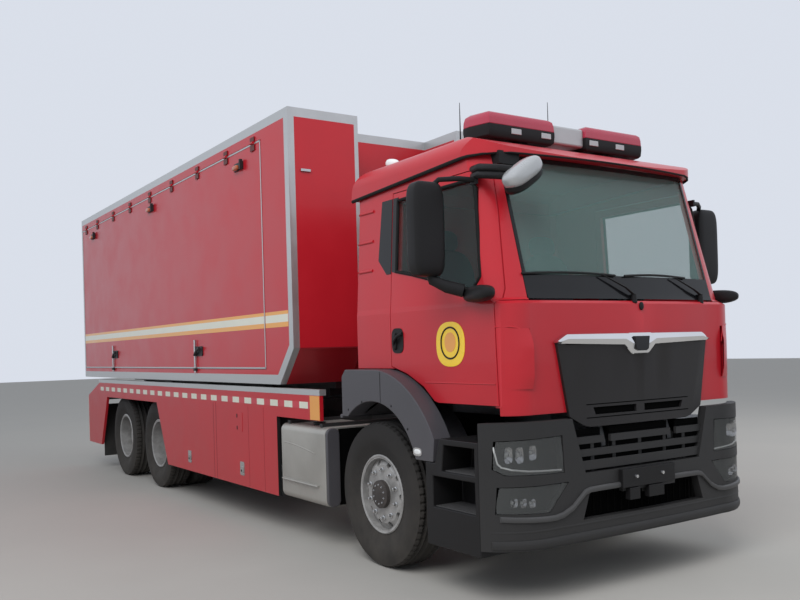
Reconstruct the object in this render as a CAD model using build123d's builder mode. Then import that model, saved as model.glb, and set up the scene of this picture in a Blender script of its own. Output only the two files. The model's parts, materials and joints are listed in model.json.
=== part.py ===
"""Hooklift fire truck: day cab chassis with three axles, hooklift and box container.

The truck faces -Y, +X is its left and +Z is up. The origin is on the ground, at the
middle of the truck's length. All sizes are in millimetres.
"""
from build123d import *
import math
import os

os.makedirs("parts", exist_ok=True)

# Overall sizes and axles
overall_length = 9733
body_width = 2500
front_overhang = 1500
front_axle_y = front_overhang - overall_length / 2
rear_axle_1 = 5069
rear_axle_2 = 6454
rest_gap = 0.3
move_gap = 6

# Wheels
tyre_radius = 533
rim_radius = 286
rim_wall = 22
front_track_half = 1045
twin_outer_half = 1050
twin_spacing = 335
spindle_radius = 45
kingpin_x = 850
kingpin_radius = 26

# Chassis frame
rail_outer = 382
rail_height = 270
rail_flange = 85
rail_web = 12
rail_bottom = 745
rail_top = rail_bottom + rail_height
frame_front = -1330
frame_rear = 7950

# Cab shell
cab_half = 1120
cab_bottom = 1168
cab_back = 430
cab_wall = 50
screen_base = 1885
seal_front_z = 2850
seal_rear_z = 2770
door_rear = -135
door_bottom = 1230
cab_floor_bottom = 1250
cab_floor_top = 1290
cab_pivot = (-1390, 940)
cab_pivot_radius = 20

# Hooklift
tip_pivot = (7850, 1085)
tip_pivot_radius = 45
subframe_top = 1135
tip_rail_outer = 380
tip_rail_bottom = 1145
tip_rail_top = 1240
runner_bottom = 1245
jib_half = 110
jib_top = 1385
lift_x = 220
lift_foot = (2900, 860)
lift_eye = (5000, 1060)
lift_bore = 46
lift_rod = 45

# Container
box_front = 1184
box_rear = 8233
box_bottom = 1320
box_top = 3690
floor_bottom = 1400
recess_half = 555
recess_back = 1717
chamfer_y = 1462
chamfer_z = 1631
side_wall = 38
side_door_front = 1737
side_door_rear = 8190
side_door_bottom = 1457
side_door_top = 3523
bottom_rail_top = 1405
top_rail_bottom = 3610
hinge_radius = 12
hinge_out = 14
hinge_span = 32
side_hinges = (1896, 2530, 3312, 4123, 4909, 5720, 6498, 7316, 7937)
rear_hinges = (-900, -300, 300, 900)
rear_door_face = box_rear - 2 * hinge_out

# Skirts and tank
skirt_wall = 35
skirt_top = 1242
skirt_rail_top = 1290
tank_front = 690
tank_rear = 1480
tank_bottom = 345
tank_top = 985
tank_inner = 650

half = body_width / 2


def along(distance):
    """Place along the truck, measured back from the front axle."""
    return front_axle_y + distance


def add_block(x, y, z, mode=Mode.ADD):
    """A block between three (low, high) pairs, y measured from the front axle."""
    middle = ((x[0] + x[1]) / 2, along((y[0] + y[1]) / 2), (z[0] + z[1]) / 2)
    with Locations(middle):
        Box(x[1] - x[0], y[1] - y[0], z[1] - z[0], mode=mode)


def add_pair(x, y, z, mode=Mode.ADD):
    """The same block on the left and on the right."""
    add_block(x, y, z, mode)
    add_block((-x[1], -x[0]), y, z, mode)


def add_side_shape(points, x, mode=Mode.ADD):
    """An outline of (distance, height) points, extruded between two x places."""
    with BuildSketch(Plane.YZ.offset(x[0])) as outline:
        with BuildLine():
            Polyline(*[(along(d), z) for d, z in points], close=True)
        make_face()
    extrude(outline.sketch, amount=x[1] - x[0], mode=mode)


def add_side_pair(points, x, mode=Mode.ADD):
    """The same side outline on the left and on the right."""
    add_side_shape(points, x, mode)
    add_side_shape(points, (-x[1], -x[0]), mode)


def add_front_shape(points, y, mode=Mode.ADD):
    """An outline of (x, height) points, extruded between two distances."""
    with BuildSketch(Plane.XZ.offset(-along(y[1]))) as outline:
        with BuildLine():
            Polyline(*points, close=True)
        make_face()
    extrude(outline.sketch, amount=y[1] - y[0], mode=mode)


def add_bar_x(x, distance, height, radius, mode=Mode.ADD):
    """A round bar or bore along X, at a distance and a height."""
    with BuildSketch(Plane.YZ.offset(x[0])) as outline:
        with Locations((along(distance), height)):
            Circle(radius)
    extrude(outline.sketch, amount=x[1] - x[0], mode=mode)


def add_bar_z(x, distance, z, radius, mode=Mode.ADD):
    """A round bar or bore along Z."""
    with BuildSketch(Plane.XY.offset(z[0])) as outline:
        with Locations((x, along(distance))):
            Circle(radius)
    extrude(outline.sketch, amount=z[1] - z[0], mode=mode)


def grown(points, gap):
    """An outline moved out from its middle by about a gap on each side."""
    low_y = min(p[0] for p in points)
    high_y = max(p[0] for p in points)
    low_z = min(p[1] for p in points)
    high_z = max(p[1] for p in points)
    return [(p[0] + gap * (2 * (p[0] - low_y) / (high_y - low_y) - 1),
             p[1] + gap * (2 * (p[1] - low_z) / (high_z - low_z) - 1)) for p in points]


def octagon(middle, height, radius):
    """Eight corners of a hinge knuckle around its axis."""
    turns = [math.radians(22.5 + 45 * step) for step in range(8)]
    return [(middle + radius * math.cos(turn), height + radius * math.sin(turn)) for turn in turns]


def save(builder, name):
    """Label a finished piece and write its STEP file."""
    builder.part.label = name
    export_step(builder.part, "parts/" + name + ".step")


# Chassis rails: two channels with the cab's pivot brackets, their pins and the rear cab mounts
with BuildPart() as frame:
    add_pair((rail_outer - rail_web, rail_outer), (frame_front, frame_rear), (rail_bottom, rail_top))
    for flange_z in (rail_bottom, rail_top - rail_web):
        add_pair((rail_outer - rail_flange, rail_outer), (frame_front, frame_rear),
                 (flange_z, flange_z + rail_web))
    add_side_pair([(-1330, 860), (-1330, 1015), (-1240, 1015), (-1240, 860)], (350, 382))
    add_side_pair([(-1415, 915), (-1415, 965), (-1330, 1015), (-1330, 800)], (352, 382))
    for side in (-1, 1):
        add_bar_x(sorted((side * 300, side * 382)), cab_pivot[0], cab_pivot[1], cab_pivot_radius)
    add_pair((rail_outer - 40, 460), (300, 380), (rail_top, cab_floor_bottom - rest_gap))
    add_pair((rail_outer, 460), (300, 380), (rail_top - 60, rail_top))
save(frame, "frame")

# Cross-members, outriggers, and the end members with their towing lugs
outrigger_places = (800, 1380, 2200, 3300, 4300, 7600)
cross_places = (-1060, 480, 1100, 2500, 5400, 6100, 7300)
low_cross_places = (3300, 4300)
outrigger = [(rail_outer + rest_gap, 800), (rail_outer + rest_gap, 1012),
             (half - skirt_wall - rest_gap, 1012), (half - skirt_wall - rest_gap, tank_top + rest_gap),
             (tank_inner - 5, tank_top + rest_gap)]
cross_half = rail_outer - rail_web - rest_gap
cross_bottom = rail_bottom + rail_web + rest_gap
front_pin_place = -1380
rear_pin_place = 8010
tow_pin_radius = 20
with BuildPart() as cross_members:
    for place in cross_places:
        add_block((-cross_half, cross_half), (place - 60, place + 60), (cross_bottom, 840))
    for place in low_cross_places:
        add_block((-rail_outer, rail_outer), (place - 40, place + 40), (700, rail_bottom - rest_gap))
    for place in outrigger_places:
        for side in (-1, 1):
            add_front_shape([(side * x, z) for x, z in outrigger], (place - 25, place + 25))
    # Front beam with the bumper's brackets and the towing lug
    add_block((-460, 460), (-1360, frame_front - rest_gap), (700, 795))
    add_block((-cross_half, cross_half), (frame_front - rest_gap, frame_front + 90), (cross_bottom, 795))
    add_pair((rail_outer, 460), (-1432.5, -1360), (700, 770))
    add_block((-60, 60), (-1430, frame_front + 40), (590, 700))
    add_bar_z(0, front_pin_place, (580, 710), tow_pin_radius, Mode.SUBTRACT)
    # Rear member with its towing lug
    add_block((-cross_half, cross_half), (frame_rear - 60, frame_rear),
              (cross_bottom, rail_top - rail_web - rest_gap))
    add_block((-60, 60), (frame_rear, frame_rear + 100), (rail_bottom, 805))
    add_bar_z(0, rear_pin_place, (735, 815), tow_pin_radius, Mode.SUBTRACT)
save(cross_members, "cross_members")

# Engine, one plain block on its four feet
engine_half = 290
with BuildPart() as engine:
    add_block((-engine_half, engine_half), (-900, 250), (640, 1330))
    for place in (-800, 100):
        add_pair((engine_half, rail_outer - rail_web - rest_gap), (place, place + 80), (820, 900))
save(engine, "engine")

# Axles: front beam with kingpin eyes, two rear housings with their final drives
axle_z = tyre_radius
with BuildPart() as axles:
    add_block((-kingpin_x, kingpin_x), (-45, 45), (axle_z - 45, axle_z + 45))
    for side in (-1, 1):
        add_bar_z(side * kingpin_x, 0, (axle_z - 60, axle_z + 60), 58)
        add_bar_z(side * kingpin_x, 0, (axle_z - 60, axle_z + 60), kingpin_radius + rest_gap, Mode.SUBTRACT)
    for place in (rear_axle_1, rear_axle_2):
        add_bar_x((-540, 540), place, axle_z, 75)
        add_bar_x((-1040, 1040), place, axle_z, spindle_radius)
        with Locations((0, along(place), axle_z)):
            Sphere(190)
save(axles, "axles")

# Driveline under the frame: gearbox, propeller shaft, and the shaft between the rear axles
shaft_start = (880, 640)
shaft_end = (rear_axle_1, axle_z + 15)
diff_radius = 190 + rest_gap
with BuildPart() as driveline:
    add_block((-200, 200), (250 + rest_gap, 900), (560, 740))
    shaft_plane = Plane(origin=(0, along(shaft_start[0]), shaft_start[1]), x_dir=(1, 0, 0),
                        z_dir=(0, shaft_end[0] - shaft_start[0], shaft_end[1] - shaft_start[1]))
    with BuildSketch(shaft_plane) as shaft:
        Circle(55)
    extrude(shaft.sketch, amount=math.dist(shaft_start, shaft_end))
    with BuildSketch(Plane.XZ.offset(-along(rear_axle_2))) as short_shaft:
        with Locations((0, shaft_end[1])):
            Circle(50)
    extrude(short_shaft.sketch, amount=rear_axle_2 - rear_axle_1)
    for place in (rear_axle_1, rear_axle_2):
        with Locations((0, along(place), axle_z)):
            Sphere(diff_radius, mode=Mode.SUBTRACT)
save(driveline, "driveline")

# Springs: leaf packs in front, bogie leaf packs with trunnion brackets behind
bogie_middle = (rear_axle_1 + rear_axle_2) / 2
with BuildPart() as springs:
    for side in (-1, 1):
        x = sorted((side * 400, side * 480))
        with BuildSketch(Plane.YZ.offset(x[0])):
            with BuildLine():
                bottom = ThreePointArc((along(-650), 700), (along(0), axle_z + 45 + rest_gap),
                                       (along(650), 700))
                Line(bottom @ 1, (along(650), 730))
                top = ThreePointArc((along(650), 730), (along(0), axle_z + 105), (along(-650), 730))
                Line(top @ 1, bottom @ 0)
            make_face()
        extrude(amount=x[1] - x[0])
        with BuildSketch(Plane.YZ.offset(x[0])):
            with BuildLine():
                low = ThreePointArc((along(rear_axle_1 - 80), 620), (along(bogie_middle), 700),
                                    (along(rear_axle_2 + 80), 620))
                Line(low @ 1, (along(rear_axle_2 + 80), 650))
                high = ThreePointArc((along(rear_axle_2 + 80), 650), (along(bogie_middle), 800),
                                     (along(rear_axle_1 - 80), 650))
                Line(high @ 1, low @ 0)
            make_face()
        extrude(amount=x[1] - x[0])
    add_pair((rail_outer + rest_gap, 480), (-660, -560), (690, 860))
    add_pair((rail_outer + rest_gap, 480), (560, 660), (690, 860))
    add_pair((rail_outer + rest_gap, 480), (bogie_middle - 110, bogie_middle + 110), (700, 900))
    for place in (rear_axle_1, rear_axle_2):
        add_pair((400, 480), (place - 70, place + 70), (axle_z + 75 + rest_gap, 640))
save(springs, "springs")

# Steering knuckles: two ears on the kingpin, a back plate and the wheel spindle
for side, name in ((1, "knuckle_left"), (-1, "knuckle_right")):
    with BuildPart() as knuckle:
        add_bar_z(side * kingpin_x, 0, (axle_z - 95, axle_z + 95), kingpin_radius)
        for low in (axle_z - 95, axle_z + 62):
            add_bar_z(side * kingpin_x, 0, (low, low + 33), 50)
            add_block(sorted((side * kingpin_x, side * 915)), (-40, 40), (low, low + 33))
        add_block(sorted((side * 913, side * 933)), (-60, 60), (axle_z - 95, axle_z + 95))
        add_bar_x(sorted((side * 930, side * 1130)), 0, axle_z, spindle_radius)
    save(knuckle, name)


# Tyre wall: distance from the tyre's middle, radius
tyre_wall = [(105, rim_radius), (134, 330), (145, 410), (140, 475), (126, 519), (103, tyre_radius)]


def add_tyre(middle, place):
    """A tyre: flat tread, sloping shoulders and bulging walls, turned about its axle."""
    wheel_plane = Plane(origin=(0, along(place), axle_z), x_dir=(1, 0, 0), z_dir=(0, -1, 0))
    with BuildSketch(wheel_plane) as profile:
        with BuildLine():
            Polyline(*[(middle + x, r) for x, r in tyre_wall],
                     *[(middle - x, r) for x, r in reversed(tyre_wall)], close=True)
        make_face()
    revolve(profile.sketch, axis=Axis((0, along(place), axle_z), (1, 0, 0)))


def add_wheel_turning(side, place, points):
    """A turned wheel part from (x outwards, radius) points."""
    wheel_plane = Plane(origin=(0, along(place), axle_z), x_dir=(1, 0, 0), z_dir=(0, -1, 0))
    with BuildSketch(wheel_plane) as profile:
        with BuildLine():
            Polyline(*[(side * x, r) for x, r in points], close=True)
        make_face()
    revolve(profile.sketch, axis=Axis((0, along(place), axle_z), (1, 0, 0)))


def cut_hand_holes(side, place, x, circle, radius):
    """Ten round hand holes through the wheel disc."""
    start = min(side * x[0], side * x[1])
    with BuildSketch(Plane.YZ.offset(start)) as holes:
        with Locations((along(place), axle_z)):
            with PolarLocations(circle, 10):
                Circle(radius)
    extrude(holes.sketch, amount=abs(x[1] - x[0]), mode=Mode.SUBTRACT)


# Wheels: name, side, distance of the axle, twin or single
wheel_table = [
    ("front_left", 1, 0, False),
    ("front_right", -1, 0, False),
    ("rear_1_left", 1, rear_axle_1, True),
    ("rear_1_right", -1, rear_axle_1, True),
    ("rear_2_left", 1, rear_axle_2, True),
    ("rear_2_right", -1, rear_axle_2, True),
]
bore = spindle_radius + rest_gap
barrel = rim_radius - rim_wall
for name, side, place, twin in wheel_table:
    middles = (twin_outer_half, twin_outer_half - twin_spacing) if twin else (front_track_half,)
    with BuildPart() as tyre:
        for middle in middles:
            add_tyre(side * middle, place)
    save(tyre, "tyre_" + name)
    with BuildPart() as rim:
        for middle in middles:
            add_wheel_turning(side, place, [(middle - 112, barrel), (middle - 112, rim_radius),
                                            (middle + 112, rim_radius), (middle + 112, barrel)])
        if twin:
            face = twin_outer_half - twin_spacing / 2
            add_wheel_turning(side, place, [
                (face - 18, bore), (face - 18, 200), (face - 80, barrel + 2), (face - 55, barrel + 2),
                (face, 215), (face + 55, barrel + 2), (face + 80, barrel + 2), (face + 18, 200),
                (face + 18, 140), (face + 150, 125), (face + 190, 95), (face + 190, 0),
                (face + 170, 0), (face + 170, bore)])
            cut_hand_holes(side, place, (face - 100, face + 100), 236, 20)
        else:
            middle = front_track_half
            add_wheel_turning(side, place, [
                (middle - 90, bore), (middle - 90, 110), (middle + 20, 130), (middle + 72, 150),
                (middle + 72, 205), (middle + 30, barrel + 2), (middle + 62, barrel + 2),
                (middle + 92, 215), (middle + 92, 105), (middle + 130, 95), (middle + 130, 0),
                (middle + 90, 0), (middle + 90, bore)])
            cut_hand_holes(side, place, (middle - 30, middle + 100), 228, 22)
    save(rim, "rim_" + name)

# Bumper: a moulded shell swept back at its corners, cut for the lamps and the air openings
bumper_low = 348
bumper_high = 1130
bumper_wall = 60
recess_top_half = 660
recess_low_half = 560
recess_floor = 780

head_pocket = [(745, 1034), (1190, 1020), (1200, 850), (1140, 809), (735, 800)]
fog_pocket = [(700, 740), (1180, 740), (1190, 575), (860, 566)]
lamp_depth = 80


def bumper_plan(inset):
    """The bumper's outer line seen from above, set in by an inset."""
    front = along(-front_overhang + inset)
    turn = along(-1478 + inset)
    rear = along(-1271)
    with BuildLine() as outline:
        nose = ThreePointArc((-820 + inset * 0.3, turn), (0, front), (820 - inset * 0.3, turn))
        left = ThreePointArc(nose @ 1, (1120 - inset * 0.8, along(-1400 + inset * 0.8)),
                             (half - inset, rear))
        Line(left @ 1, (-half + inset, rear))
        ThreePointArc((-half + inset, rear), (-1120 + inset * 0.8, along(-1400 + inset * 0.8)), nose @ 0)
    make_face(outline.edges())


with BuildPart() as bumper:
    with BuildSketch(Plane.XY.offset(bumper_low)):
        bumper_plan(0)
    extrude(amount=bumper_high - bumper_low)
    with BuildSketch(Plane.XY.offset(bumper_low)):
        bumper_plan(bumper_wall)
    extrude(amount=bumper_high - bumper_low, mode=Mode.SUBTRACT)
    # Recess below the grille
    add_front_shape([(-recess_top_half, bumper_high), (recess_top_half, bumper_high),
                     (recess_low_half, recess_floor), (-recess_low_half, recess_floor)],
                    (-1600, -1300), Mode.SUBTRACT)
    # Lower air opening
    add_front_shape([(-530, 655), (530, 655), (590, 487), (-590, 487)], (-1600, -1400), Mode.SUBTRACT)
    # Lamp pockets, open to the front
    for side in (-1, 1):
        for pocket in (head_pocket, fog_pocket):
            add_front_shape([(side * x, z) for x, z in pocket], (-1600, -1100), Mode.SUBTRACT)
    # Louvre bars in the recess; the top one leaves slots for the cab's pivot arms
    louvre_half = recess_top_half - 45
    for low in (800, 880):
        add_block((-louvre_half, louvre_half), (-1462, -1440), (low, low + 45))
    add_block((-294, 294), (-1462, -1440), (960, 1005))
    add_pair((356, louvre_half), (-1462, -1440), (960, 1005))
    for x in (-450, -250, 0, 250, 450):
        add_block((x - 15, x + 15), (-1446, -1440), (recess_floor - 20, 1005))
    # Plate bracket, blank
    add_block((-237, 280), (-1500, -1470), (630, 775))
save(bumper, "bumper")

# Headlamps and fog lamps, each filling its pocket in the bumper
with BuildPart() as headlamps:
    for pocket in (head_pocket, fog_pocket):
        for side in (-1, 1):
            add_front_shape([(side * x, z) for x, z in grown(pocket, -rest_gap)], (-1600, -1100))
    with BuildSketch(Plane.XY.offset(bumper_low)):
        bumper_plan(12)
    extrude(amount=bumper_high - bumper_low, mode=Mode.INTERSECT)
    with BuildSketch(Plane.XY.offset(bumper_low)):
        bumper_plan(lamp_depth)
    extrude(amount=bumper_high - bumper_low, mode=Mode.SUBTRACT)
save(headlamps, "headlamps")

# Front fenders: a hollow outer shell and the wheel arch liner beside it
fender_inner = cab_half - 20
fender_outer = half - 5


def fender_face(inset):
    """The fender's side outline: arch below, sloping crest above, set in by an inset."""
    with BuildLine() as outline:
        arch = ThreePointArc((along(-585 - inset), 848), (along(-25), 1222 + inset),
                             (along(310), 1097 + inset))
        Line(arch @ 1, (along(395 - inset), 1095 + inset))
        Line((along(395 - inset), 1095 + inset), (along(395 - inset), 1400 - inset))
        Line((along(395 - inset), 1400 - inset), (along(340 - inset), 1454 - inset))
        Line((along(340 - inset), 1454 - inset), (along(-110), 1454 - inset))
        crest = ThreePointArc((along(-110), 1454 - inset), (along(-530 + inset), 1302 - inset),
                              (along(-800 + inset), 1000))
        Line(crest @ 1, (along(-783 + inset), 848))
        Line((along(-783 + inset), 848), arch @ 0)
    make_face(outline.edges())


with BuildPart() as fenders:
    for side in (-1, 1):
        for x, inset, mode in (((fender_inner, fender_outer), 0, Mode.ADD),
                               ((fender_inner - 10, fender_outer - 15), 15, Mode.SUBTRACT)):
            low_x, high_x = sorted((side * x[0], side * x[1]))
            with BuildSketch(Plane.YZ.offset(low_x)):
                fender_face(inset)
            extrude(amount=high_x - low_x, mode=mode)
        low_x, high_x = sorted((side * 760, side * (fender_inner - rest_gap)))
        with BuildSketch(Plane.YZ.offset(low_x)):
            with BuildLine():
                arch = ThreePointArc((along(-585), 848), (along(-25), 1222), (along(310), 1097))
                Line(arch @ 1, (along(322), 1112))
                outer = ThreePointArc((along(322), 1112), (along(-25), 1240), (along(-605), 848))
                Line(outer @ 1, arch @ 0)
            make_face()
        extrude(amount=high_x - low_x)
    # Stays behind the fenders, from the chassis rails
    add_pair((rail_outer + rest_gap, fender_outer), (395, 430), (1080, 1110))
    add_pair((rail_outer + rest_gap, rail_outer + 20), (395, 430), (960, 1110))
save(fenders, "fenders")

# Entry steps, with two open foot wells on each side
with BuildPart() as steps:
    add_side_pair([(-700, 303), (-700, 847), (-805, 847), (-860, 1010), (-1264, 1010), (-1264, 303)],
                  (850, 1245))
    add_side_pair([(-880, 800), (-905, 970), (-1220, 970), (-1220, 800)], (1000, 1300), Mode.SUBTRACT)
    add_side_pair([(-780, 560), (-780, 760), (-1220, 760), (-1220, 560)], (1000, 1300), Mode.SUBTRACT)
    add_pair((rail_outer + rest_gap, 860), (-1000, -900), (900, 960))
save(steps, "steps")

# Side tanks with rounded long edges
with BuildPart() as tanks:
    for side in (-1, 1):
        x = sorted((side * tank_inner, side * (half - 5)))
        with BuildSketch(Plane.XZ.offset(-along(tank_rear))):
            with Locations(((x[0] + x[1]) / 2, (tank_bottom + tank_top) / 2)):
                RectangleRounded(x[1] - x[0], tank_top - tank_bottom, 60)
        extrude(amount=tank_rear - tank_front)
save(tanks, "tanks")

# Side skirts with the rear wheel arch, and their aluminium rails
skirt_outline = [(750, skirt_top), (7440, skirt_top), (8052, 1053), (8080, 1020), (8080, 350),
                 (7408, 350), (7056, 1045), (4874, 1045), (4513, 350), (4500, 335), (1555, 335),
                 (1555, 1037), (750, 1037)]
with BuildPart() as skirts:
    add_side_pair(skirt_outline, (half - skirt_wall, half))
save(skirts, "skirts")
with BuildPart() as skirt_rails:
    add_side_pair([(748, skirt_top), (748, skirt_rail_top), (7473, skirt_rail_top), (7473, skirt_top)],
                  (half - 60, half))
save(skirt_rails, "skirt_rails")

# Rear bar: under-run guard, lamp boards and mudflaps
with BuildPart() as rear_bar:
    add_block((-1200, 1200), (8000, 8080), (430, 560))
    add_pair((700, 1200), (8040, 8080), (640, 800))
    add_pair((780, 840), (8000, 8060), (560, 640))
    add_pair((rail_outer + rest_gap, rail_outer + 60), (7700, 7890), (745, 900))
    add_side_pair([(7700, 900), (7890, 900), (8060, 560), (8060, 430), (8000, 430), (7960, 560)],
                  (rail_outer + rest_gap, rail_outer + 60))
    add_pair((560, 1200), (7440, 7452), (180, 900))
    add_pair((rail_outer + rest_gap, 1200), (7400, 7440), (880, 930))
save(rear_bar, "rear_bar")

# Hooklift subframe on the chassis rails
with BuildPart() as subframe:
    add_pair((300, rail_outer), (620, 7740), (rail_top + rest_gap, subframe_top))
    for place in (700, 2300, 5500, 6900, 7640):
        add_block((-300, 300), (place - 50, place + 50), (rail_top + 20, subframe_top))
    # Tip pivot brackets
    add_side_pair([(7500, rail_top + rest_gap), (7500, subframe_top), (7780, 1165), (7920, 1165),
                   (7920, rail_top + rest_gap)], (385, 415))
    add_pair((rail_outer, 385), (7500, 7740), (rail_top + rest_gap, subframe_top))
    # Lift cylinder feet
    for side in (-1, 1):
        for x in (lift_x - 70, lift_x + 50):
            add_side_shape([(2700, rail_top + rest_gap), (2700, subframe_top), (2940, subframe_top),
                            (2960, 860), (2940, 800), (2860, 800), (2830, 860)],
                           sorted((side * x, side * (x + 20))))
        add_block(sorted((side * (lift_x - 70), side * 300)), (2700, 2780), (rail_top + 20, subframe_top))
        add_bar_x(sorted((side * (lift_x - 80), side * (lift_x + 75))), lift_foot[0], lift_foot[1], 30)
    for side in (-1, 1):
        add_bar_x(sorted((side * 380, side * 420)), tip_pivot[0], tip_pivot[1],
                  tip_pivot_radius + rest_gap, Mode.SUBTRACT)
save(subframe, "subframe")

# Tip frame: rails, bolsters, pivot lugs and the lift cylinders' upper lugs
bolster_places = (1900, 3400, 5000, 6400, 7600)
with BuildPart() as tip_frame:
    add_pair((tip_rail_outer - 80, tip_rail_outer), (1560, 7900), (tip_rail_bottom, tip_rail_top))
    for place in bolster_places:
        add_block((-540, 540), (place - 45, place + 45), (1180, runner_bottom - rest_gap))
    for side in (-1, 1):
        x = sorted((side * 330, side * 380))
        add_side_shape([(7700, 1200), (7900, 1200), (7920, 1085), (7870, 1030), (7830, 1030),
                        (7780, 1085)], x)
    add_bar_x((-414, 414), tip_pivot[0], tip_pivot[1], tip_pivot_radius)
    for side in (-1, 1):
        for x in (lift_x - 60, lift_x + 38):
            add_side_shape([(4940, 1200), (5060, 1200), (5050, 1010), (4950, 1010)],
                           sorted((side * x, side * (x + 22))))
save(tip_frame, "tip_frame")

# Lift cylinders, drawn along their own line from foot to eye
lift_run = math.dist(lift_foot, lift_eye)
lift_angle = math.degrees(math.atan2(lift_eye[1] - lift_foot[1], lift_eye[0] - lift_foot[0]))


def lift_plane(x, start):
    """A plane across the cylinder's axis, a run along it from the foot pin."""
    slope = math.radians(lift_angle)
    direction = (0, math.cos(slope), math.sin(slope))
    origin = (x, along(lift_foot[0]) + start * direction[1], lift_foot[1] + start * direction[2])
    return Plane(origin=origin, x_dir=(1, 0, 0), z_dir=direction)


# Runs along the cylinder from its foot pin
barrel_start = 130
barrel_end = 1900
bore_start = 142
rod_start = 145
with BuildPart() as lift_barrels:
    for side in (-1, 1):
        with BuildSketch(lift_plane(side * lift_x, barrel_start)):
            Circle(68)
        extrude(amount=barrel_end - barrel_start)
        with BuildSketch(lift_plane(side * lift_x, 30)):
            Rectangle(90, 100)
        extrude(amount=barrel_start - 28)
        add_bar_x(sorted((side * (lift_x - 48), side * (lift_x + 48))), lift_foot[0], lift_foot[1], 62)
        with BuildSketch(lift_plane(side * lift_x, bore_start)):
            Circle(lift_bore)
        extrude(amount=barrel_end, mode=Mode.SUBTRACT)
        add_bar_x(sorted((side * (lift_x - 60), side * (lift_x + 60))), lift_foot[0], lift_foot[1],
                  30 + rest_gap, Mode.SUBTRACT)
save(lift_barrels, "lift_barrels")
with BuildPart() as lift_rods:
    for side in (-1, 1):
        with BuildSketch(lift_plane(side * lift_x, rod_start)):
            Circle(lift_rod)
        extrude(amount=lift_run - 80 - rod_start)
        with BuildSketch(lift_plane(side * lift_x, lift_run - 90)):
            Rectangle(74, 80)
        extrude(amount=70)
        add_bar_x(sorted((side * (lift_x - 37), side * (lift_x + 37))), lift_eye[0], lift_eye[1], 58)
        add_bar_x(sorted((side * (lift_x - 40), side * (lift_x + 40))), lift_eye[0], lift_eye[1], 30,
                  Mode.SUBTRACT)
save(lift_rods, "lift_rods")

# Jib: sliding beam, upright arm and hook
with BuildPart() as jib:
    add_block((-jib_half, jib_half), (1330, 5200), (runner_bottom, jib_top))
    add_side_shape([(1330, 1245), (1330, 2700), (1370, 2860), (1500, 2930), (1600, 2900), (1630, 2840),
                    (1590, 2840), (1560, 2870), (1500, 2875), (1450, 2820), (1480, 2700), (1500, 1500),
                    (1600, jib_top), (1600, 1245)], (-jib_half + 20, jib_half - 20))
save(jib, "jib")

# Hook bar across the container's front recess, held under the hook
with BuildPart() as hook_bar:
    add_bar_x((-recess_half + rest_gap, recess_half - rest_gap), 1515, 2845, 25)
    add_pair((recess_half - 12, recess_half - rest_gap), (1455, 1575), (2785, 2905))
save(hook_bar, "hook_bar")


def container_plan(inset, rear):
    """The container seen from above: two ears, the recess between them, and a rear edge."""
    corners = [(half - inset, along(rear)), (half - inset, along(box_front + inset)),
               (recess_half + inset, along(box_front + inset)),
               (recess_half + inset, along(recess_back + inset))]
    with BuildLine() as outline:
        Polyline(*corners, *[(-x, y) for x, y in reversed(corners)], close=True)
    make_face(outline.edges())


# Container frame: an aluminium ring on each side, cross rails, ear posts and recess rails
ring_inner_x = half - 60
rail_deep = 80
with BuildPart() as container_frame:
    add_side_pair([(box_front, box_top), (box_rear, box_top), (box_rear, box_bottom),
                   (chamfer_y, box_bottom), (box_front, chamfer_z)], (ring_inner_x, half))
    add_side_pair([(box_front + rail_deep, top_rail_bottom), (box_rear - 43, top_rail_bottom),
                   (box_rear - 43, bottom_rail_top), (chamfer_y + 37, bottom_rail_top),
                   (box_front + rail_deep, chamfer_z + 31)], (ring_inner_x - 10, half + 10), Mode.SUBTRACT)
    add_block((-ring_inner_x, ring_inner_x), (box_rear - rail_deep, box_rear),
              (side_door_top + move_gap, box_top))
    add_block((-ring_inner_x, ring_inner_x), (box_rear - rail_deep, box_rear),
              (box_bottom, side_door_bottom - move_gap))
    # Rear door hinges: the fixed knuckles, under a rebate in the header
    add_block((-ring_inner_x, ring_inner_x), (rear_door_face, box_rear + 10),
              (side_door_top, side_door_top + hinge_radius + move_gap), Mode.SUBTRACT)
    for place in rear_hinges:
        add_side_shape(octagon(box_rear - hinge_out, side_door_top, hinge_radius),
                       (place - hinge_span, place))
        add_block((place - hinge_span, place), (box_rear - hinge_out - 9, box_rear - hinge_out + 9),
                  (side_door_top, side_door_top + hinge_radius + move_gap + 1))
    add_pair((recess_half, ring_inner_x), (box_front, box_front + rail_deep), (top_rail_bottom, box_top))
    add_pair((recess_half, recess_half + 60), (box_front + rail_deep, recess_back),
             (top_rail_bottom, box_top))
    add_block((-recess_half - 60, recess_half + 60), (recess_back, recess_back + 60),
              (top_rail_bottom, box_top))
    add_pair((recess_half, recess_half + 40), (box_front, box_front + 40), (chamfer_z, top_rail_bottom))
save(container_frame, "container_frame")

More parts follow.
